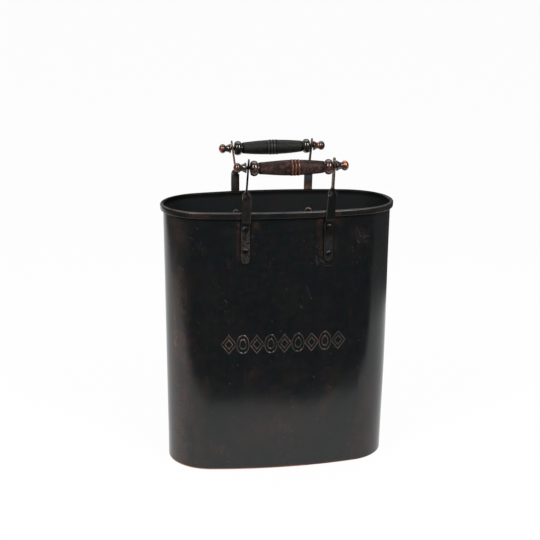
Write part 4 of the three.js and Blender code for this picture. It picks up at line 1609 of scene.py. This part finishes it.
def scratch_group(label):
    """Fine crossing scratches as a mask and a height."""
    graph, given = new_group(label, (), {"Scale": 60.0, "Depth": 0.5}, (), ("Height", "Mask"))
    place = graph.place()
    mask = graph.step(graph.noise(place, given["Scale"], 2.0), 0.58, 0.68)
    lines = None
    for turn, stretch in SCRATCH_WAYS:
        drawn = graph.stretch(place, (1.0, 1.0, stretch), turn)
        cells = graph.noise(drawn, given["Scale"] * 9.0, 1.0, 0.5)
        line = graph.step(graph.math("ABSOLUTE", cells - 0.5), 0.0, 0.012, 1.0, 0.0) * mask
        lines = line if lines is None else graph.math("MAXIMUM", lines, line)
    graph.add("NodeGroupOutput", {"Mask": lines, "Height": lines * given["Depth"]})
    return graph.tree


RELIEF_DEPTH = 0.1 * MM


def patina_material(
    label, values, bump=0.3, scratch=0.25, coat=0.4, coat_roughness=0.06, coat_ior=1.5, specular=0.5,
):
    """A material of worn dark copper. values are the patina group's own inputs."""
    finish = settings().finish
    values = {name: getattr(finish, name.lower()) for name in COLOURS} | values
    values |= {name: (*values[name], 1.0) for name in COLOURS}
    material = bpy.data.materials.new(label)
    material.use_nodes = True
    graph = Graph(material.node_tree)
    tree = shared_group("Copper Patina", patina_group)
    patina = graph.outputs(graph.add("ShaderNodeGroup", values, node_tree=tree))
    tree = shared_group("Fine Scratches", scratch_group)
    scratches = graph.outputs(graph.add("ShaderNodeGroup", {"Depth": scratch}, node_tree=tree))
    height = patina["Height"] - scratches["Height"]
    relief = {"Strength": bump, "Distance": RELIEF_DEPTH, "Height": height}
    graph.feed(material.node_tree.nodes["Principled BSDF"], {
        "Base Color": graph.blend(scratches["Mask"] * 0.5, patina["Color"], (*finish.brown, 1.0)),
        "Metallic": patina["Metallic"],
        "Roughness": patina["Roughness"],
        "Normal": graph.take("Normal", "ShaderNodeBump", relief),
        "Coat Weight": patina["Polish"] * coat,
        "Coat Roughness": coat_roughness,
        "Coat IOR": coat_ior,
        "Specular IOR Level": specular,
    })
    return material


# Copper with some red oxide left on it
RED_COPPER = (0.6, 0.17, 0.06)
GRIP_VALUES = {
    "Edge Low": 90.0, "Edge High": 700.0, "Cloud Scale": 120.0, "Grain Scale": 600.0,
    "Oxide Roughness": 0.5, "Copper Roughness": 0.35,
}
GRIP_SHADER = {"bump": 0.2, "coat": 1.0, "coat_ior": 1.7, "specular": 0.14}
# What each finish changes in the patina group, and in the shader
FINISHES = {
    "body": (
        {"Edge Low": 150.0, "Edge High": 900.0, "Edge Wear": 0.32, "Cloud Scale": 14.0,
         "Cloud Brown": 0.12, "Oxide Roughness": 0.19, "Brushing": 0.16, "Specks": 0.3,
         "Rough Grain": 0.03},
        {"bump": 0.1, "specular": 0.465},
    ),
    "wire": ({"Cloud Scale": 60.0, "Cloud Brown": 0.8, "Seed": 3.0}, {}),
    "pan": (
        {"Edge Low": 300.0, "Edge High": 1500.0, "Cloud Scale": 30.0, "Cloud Brown": 0.5,
         "Oxide Roughness": 0.45, "Seed": 4.0},
        {"bump": 0.5},
    ),
    "strap": (
        {"Edge Low": 250.0, "Edge High": 1300.0, "Edge Wear": 0.28, "Cloud Scale": 60.0,
         "Cloud Brown": 0.2, "Grain Scale": 420.0, "Oxide Roughness": 0.33, "Seed": 2.0},
        {"bump": 0.4, "coat": 0.3},
    ),
    "rivet": (
        {"Edge Low": 400.0, "Edge High": 2500.0, "Edge Wear": 0.25, "Cloud Scale": 120.0,
         "Cloud Brown": 0.3, "Grain Scale": 600.0, "Oxide Roughness": 0.3, "Seed": 6.0},
        {"bump": 0.35, "coat": 0.8, "coat_roughness": 0.1},
    ),
    "rod": (
        {"Edge Low": 500.0, "Edge High": 3000.0, "Cloud Scale": 90.0, "Cloud Brown": 0.5, "Seed": 8.0},
        {"bump": 0.4},
    ),
    "front_grip": (
        {"Edge Wear": 0.3, "Cloud Brown": 0.9, "Copper": RED_COPPER, "Brown": (0.066, 0.03, 0.023),
         "Oxide": (0.004, 0.004, 0.004), "Seed": 5.0, **GRIP_VALUES},
        GRIP_SHADER,
    ),
    "rear_grip": (
        {"Edge Wear": 0.1, "Cloud Brown": 0.5, "Brown": (0.034, 0.026, 0.017),
         "Oxide": (0.005, 0.007, 0.0058), "Seed": 9.0, **GRIP_VALUES},
        GRIP_SHADER,
    ),
    "finial": (
        {"Edge Low": 250.0, "Edge High": 2500.0, "Edge Wear": 0.3, "Cloud Scale": 110.0,
         "Cloud Brown": 0.8, "Grain Scale": 500.0, "Oxide Roughness": 0.18, "Copper Roughness": 0.2,
         "Copper": (0.62, 0.155, 0.048), "Seed": 1.0},
        {"bump": 0.12, "scratch": 0.1, "coat": 0.9, "coat_roughness": 0.05, "coat_ior": 1.6,
         "specular": 0.3},
    ),
}


def finish_of(name):
    """The material of a finish, which is made when it is first needed."""
    label = f"{name}_patina"
    if label in bpy.data.materials:
        return bpy.data.materials[label]
    values, shader = FINISHES[name]
    return patina_material(label, values, **shader)


# Studio

WHITE = (1, 1, 1, 1)
FLOOR_COLOUR = (0.85, 0.85, 0.85, 1)
FLOOR_REACH = 40.0
WHITE_SHARE = 0.96
# The dark room beyond the pale table, as the reflections show it: degrees from the front towards
# the right, how far off the table ends there, over what length it darkens, and how pale it gets
TABLE_EDGE = (
    (-152, 1.8, 0.1, 0.96), (-136, 1.5, 0.03, 0.05), (-120, 1.18, 0.03, 0.05), (-101, 1.0, 0.03, 0.05),
    (-88, 0.91, 0.03, 0.05), (-75, 0.68, 0.03, 0.055), (-64, 0.52, 0.03, 0.055),
    (-53, 0.44, 0.02, 0.055), (-35, 0.35, 0.02, 0.05), (0, 0.29, 0.02, 0.045),
    (20, 0.293, 0.02, 0.045), (38, 0.36, 0.02, 0.045), (48.5, 0.468, 0.02, 0.045),
    (57, 0.52, 0.02, 0.045), (62, 0.6, 0.02, 0.045), (65.5, 0.7, 0.02, 0.05),
    (67, 0.76, 0.3, 0.2), (90, 0.76, 0.3, 0.18), (110, 0.76, 0.22, 0.1),
    (135, 0.76, 0.16, 0.08), (160, 0.8, 0.16, 0.07), (174, 0.9, 0.2, 0.07), (184, 1.0, 0.3, 0.3),
    (194, 1.1, 0.3, 0.96),
)
CARD_RADIUS = 2.6
CARD_HEIGHT = 2.6
CARD_LOW = 2 * MM
CARD_TOP_SHADE = 0.05
CARD_SIDE_SHADE = 0.15
CEILING_BACK = 0.5
SOFTBOX_TURN = math.radians(39)
SOFTBOX_AWAY = 1.75
SOFTBOX_RISE = 1.65
SOFTBOX_WIDTH = 0.56
SOFTBOX_HEIGHT = 1.3
SOFTBOX_AIM = 0.35
TOP_BOX_SIZE = 1.4
TOP_BOX_PLACE = (0.1, 0.5, 2.1)
SENSOR_WIDTH = 36.0
VIEW_REACH = 150.0


def seen_white(graph):
    """1 for camera, glossy and transmission rays, which see the background as white."""
    path = graph.outputs(graph.add("ShaderNodeLightPath"))
    seen = graph.math("MAXIMUM", path["Is Camera Ray"], path["Is Glossy Ray"])
    return graph.math("MAXIMUM", seen, path["Is Transmission Ray"])


def stage_mesh(name, points, faces, label):
    """A stage object, and the empty graph of its own material."""
    thing = new_object(name, new_mesh(name, points, faces))
    material = bpy.data.materials.new(label)
    material.use_nodes = True
    material.node_tree.nodes.clear()
    thing.data.materials.append(material)
    return thing, Graph(material.node_tree)


class BASKET_OT_stage(bpy.types.Operator):
    """Set up the camera, the floor, the lamps and the room's light"""

    bl_idname = "basket.stage"
    bl_label = "Stage"

    def execute(self, context):
        self.camera()
        self.floor()
        self.dark_cards()
        self.lamps()
        self.world()
        context.scene.view_settings.view_transform = "Standard"
        return {"FINISHED"}

    def camera(self):
        studio = settings().studio
        data = bpy.data.cameras.new("camera")
        data.lens = studio.lens
        data.sensor_width = SENSOR_WIDTH
        data.clip_end = VIEW_REACH
        thing = new_object("camera", data)
        look = Euler((QUARTER - studio.camera_pitch, 0, -studio.camera_turn)).to_matrix().to_4x4()
        roll = Matrix.Rotation(studio.camera_roll, 4, "Z")
        thing.matrix_world = Matrix.Translation(studio.camera_place) @ look @ roll
        bpy.context.scene.camera = thing

    def floor(self):
        corners = ((-1, -1), (1, -1), (1, 1), (-1, 1))
        points = [(x * FLOOR_REACH, y * FLOOR_REACH, 0) for x, y in corners]
        _, graph = stage_mesh("floor", points, [(0, 1, 2, 3)], "pale_floor")
        lit = graph.take(0, "ShaderNodeBsdfDiffuse", {"Color": FLOOR_COLOUR})
        white = graph.take(0, "ShaderNodeEmission", {"Color": WHITE})
        share = seen_white(graph) * WHITE_SHARE
        mixed = graph.take(0, "ShaderNodeMixShader", {0: share, 1: lit, 2: white})
        graph.add("ShaderNodeOutputMaterial", {"Surface": mixed})

    def dark_cards(self):
        """The dark room beyond the pale table and over its front, seen only by reflections."""
        points, shades = [], []
        for degrees, edge, length, shade in TABLE_EDGE:
            angle = math.radians(degrees)
            for away, z, share in (
                (edge, CARD_LOW, WHITE_SHARE),
                (edge + length * 0.4, CARD_LOW, mix(WHITE_SHARE, shade, 0.5)),
                (edge + length, CARD_LOW, shade), (CARD_RADIUS, CARD_LOW, shade * 0.6 + 0.02),
                (CARD_RADIUS, CARD_HEIGHT, max(CARD_TOP_SHADE, shade - CARD_SIDE_SHADE)),
            ):
                points.append((away * math.sin(angle), -away * math.cos(angle), z))
                shades.append(share)
        count = len(points) // len(TABLE_EDGE)
        faces = [
            (count * i + k, count * i + k + 1, count * (i + 1) + k + 1, count * (i + 1) + k)
            for i in range(len(TABLE_EDGE) - 1) for k in range(count - 1)
        ]
        first, reach = len(points), CARD_RADIUS
        ceiling = ((-reach, -reach), (reach, -reach), (reach, CEILING_BACK), (-reach, CEILING_BACK))
        points += [(x, y, CARD_HEIGHT) for x, y in ceiling]
        shades += [CARD_TOP_SHADE] * 4
        faces.append((first, first + 1, first + 2, first + 3))
        cards, graph = stage_mesh("dark_cards", points, faces, "card_black")
        write_points(cards.data, "shade", shades)
        dark = graph.take(0, "ShaderNodeEmission", {"Color": graph.attribute("shade")})
        graph.add("ShaderNodeOutputMaterial", {"Surface": dark})
        cards.visible_camera = cards.visible_diffuse = False
        cards.visible_shadow = cards.visible_transmission = False

    def lamps(self):
        studio = settings().studio
        for label, turn in (("left_softbox", -SOFTBOX_TURN), ("right_softbox", SOFTBOX_TURN)):
            angle = turn - studio.camera_turn
            place = (SOFTBOX_AWAY * math.sin(angle), -SOFTBOX_AWAY * math.cos(angle), SOFTBOX_RISE)
            self.softbox(label, place, (SOFTBOX_WIDTH, SOFTBOX_HEIGHT), studio.softbox_power)
        self.softbox("top_softbox", TOP_BOX_PLACE, (TOP_BOX_SIZE, TOP_BOX_SIZE), studio.top_power)

    def softbox(self, label, place, size, power):
        data = bpy.data.lights.new(label, "AREA")
        data.shape = "RECTANGLE"
        data.size, data.size_y = size
        data.energy = power
        lamp = new_object(label, data)
        lamp.location = place
        lamp.rotation_mode = "QUATERNION"
        aim = Vector((0, 0, SOFTBOX_AIM))
        lamp.rotation_quaternion = (lamp.location - aim).to_track_quat("Z", "Y")

    def world(self):
        world = bpy.data.worlds.new("room")
        bpy.context.scene.world = world
        world.use_nodes = True
        world.node_tree.nodes.clear()
        graph = Graph(world.node_tree)
        strength = graph.lerp(seen_white(graph), settings().studio.room_light, 1.0)
        light = graph.take(0, "ShaderNodeBackground", {"Color": WHITE, "Strength": strength})
        graph.add("ShaderNodeOutputWorld", {"Surface": light})


class BASKET_PT_sidebar(bpy.types.Panel):
    """The basket's sizes, finishes and parts"""

    bl_idname = "BASKET_PT_sidebar"
    bl_label = "Magazine basket"
    bl_space_type = "VIEW_3D"
    bl_region_type = "UI"
    bl_category = "Basket"

    def draw(self, context):
        layout = self.layout
        basket = context.scene.basket
        for label in ("body", "handles", "finish", "studio"):
            box = layout.box()
            box.label(text=label.capitalize())
            group = getattr(basket, label)
            for name in group.__annotations__:
                box.prop(group, name)
        for operator in OPERATORS:
            layout.operator(operator.bl_idname)


OPERATORS = (
    BASKET_OT_stage,
    BASKET_OT_wall,
    BASKET_OT_rim_wire,
    BASKET_OT_base_pan,
    BASKET_OT_straps,
    BASKET_OT_rivets,
    BASKET_OT_tie_rods,
    BASKET_OT_grips,
    BASKET_OT_finials,
)
CLASSES = (
    BasketBody, BasketHandles, BasketFinish, BasketStudio, BasketSettings,
    *OPERATORS, BASKET_PT_sidebar,
)


def register():
    for kind in CLASSES:
        bpy.utils.register_class(kind)
    bpy.types.Scene.basket = bpy.props.PointerProperty(type=BasketSettings)


def unregister():
    del bpy.types.Scene.basket
    for kind in reversed(CLASSES):
        bpy.utils.unregister_class(kind)


def main():
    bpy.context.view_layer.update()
    register()
    for operator in OPERATORS:
        group, name = operator.bl_idname.split(".")
        getattr(getattr(bpy.ops, group), name)()


if __name__ == "__main__":
    main()
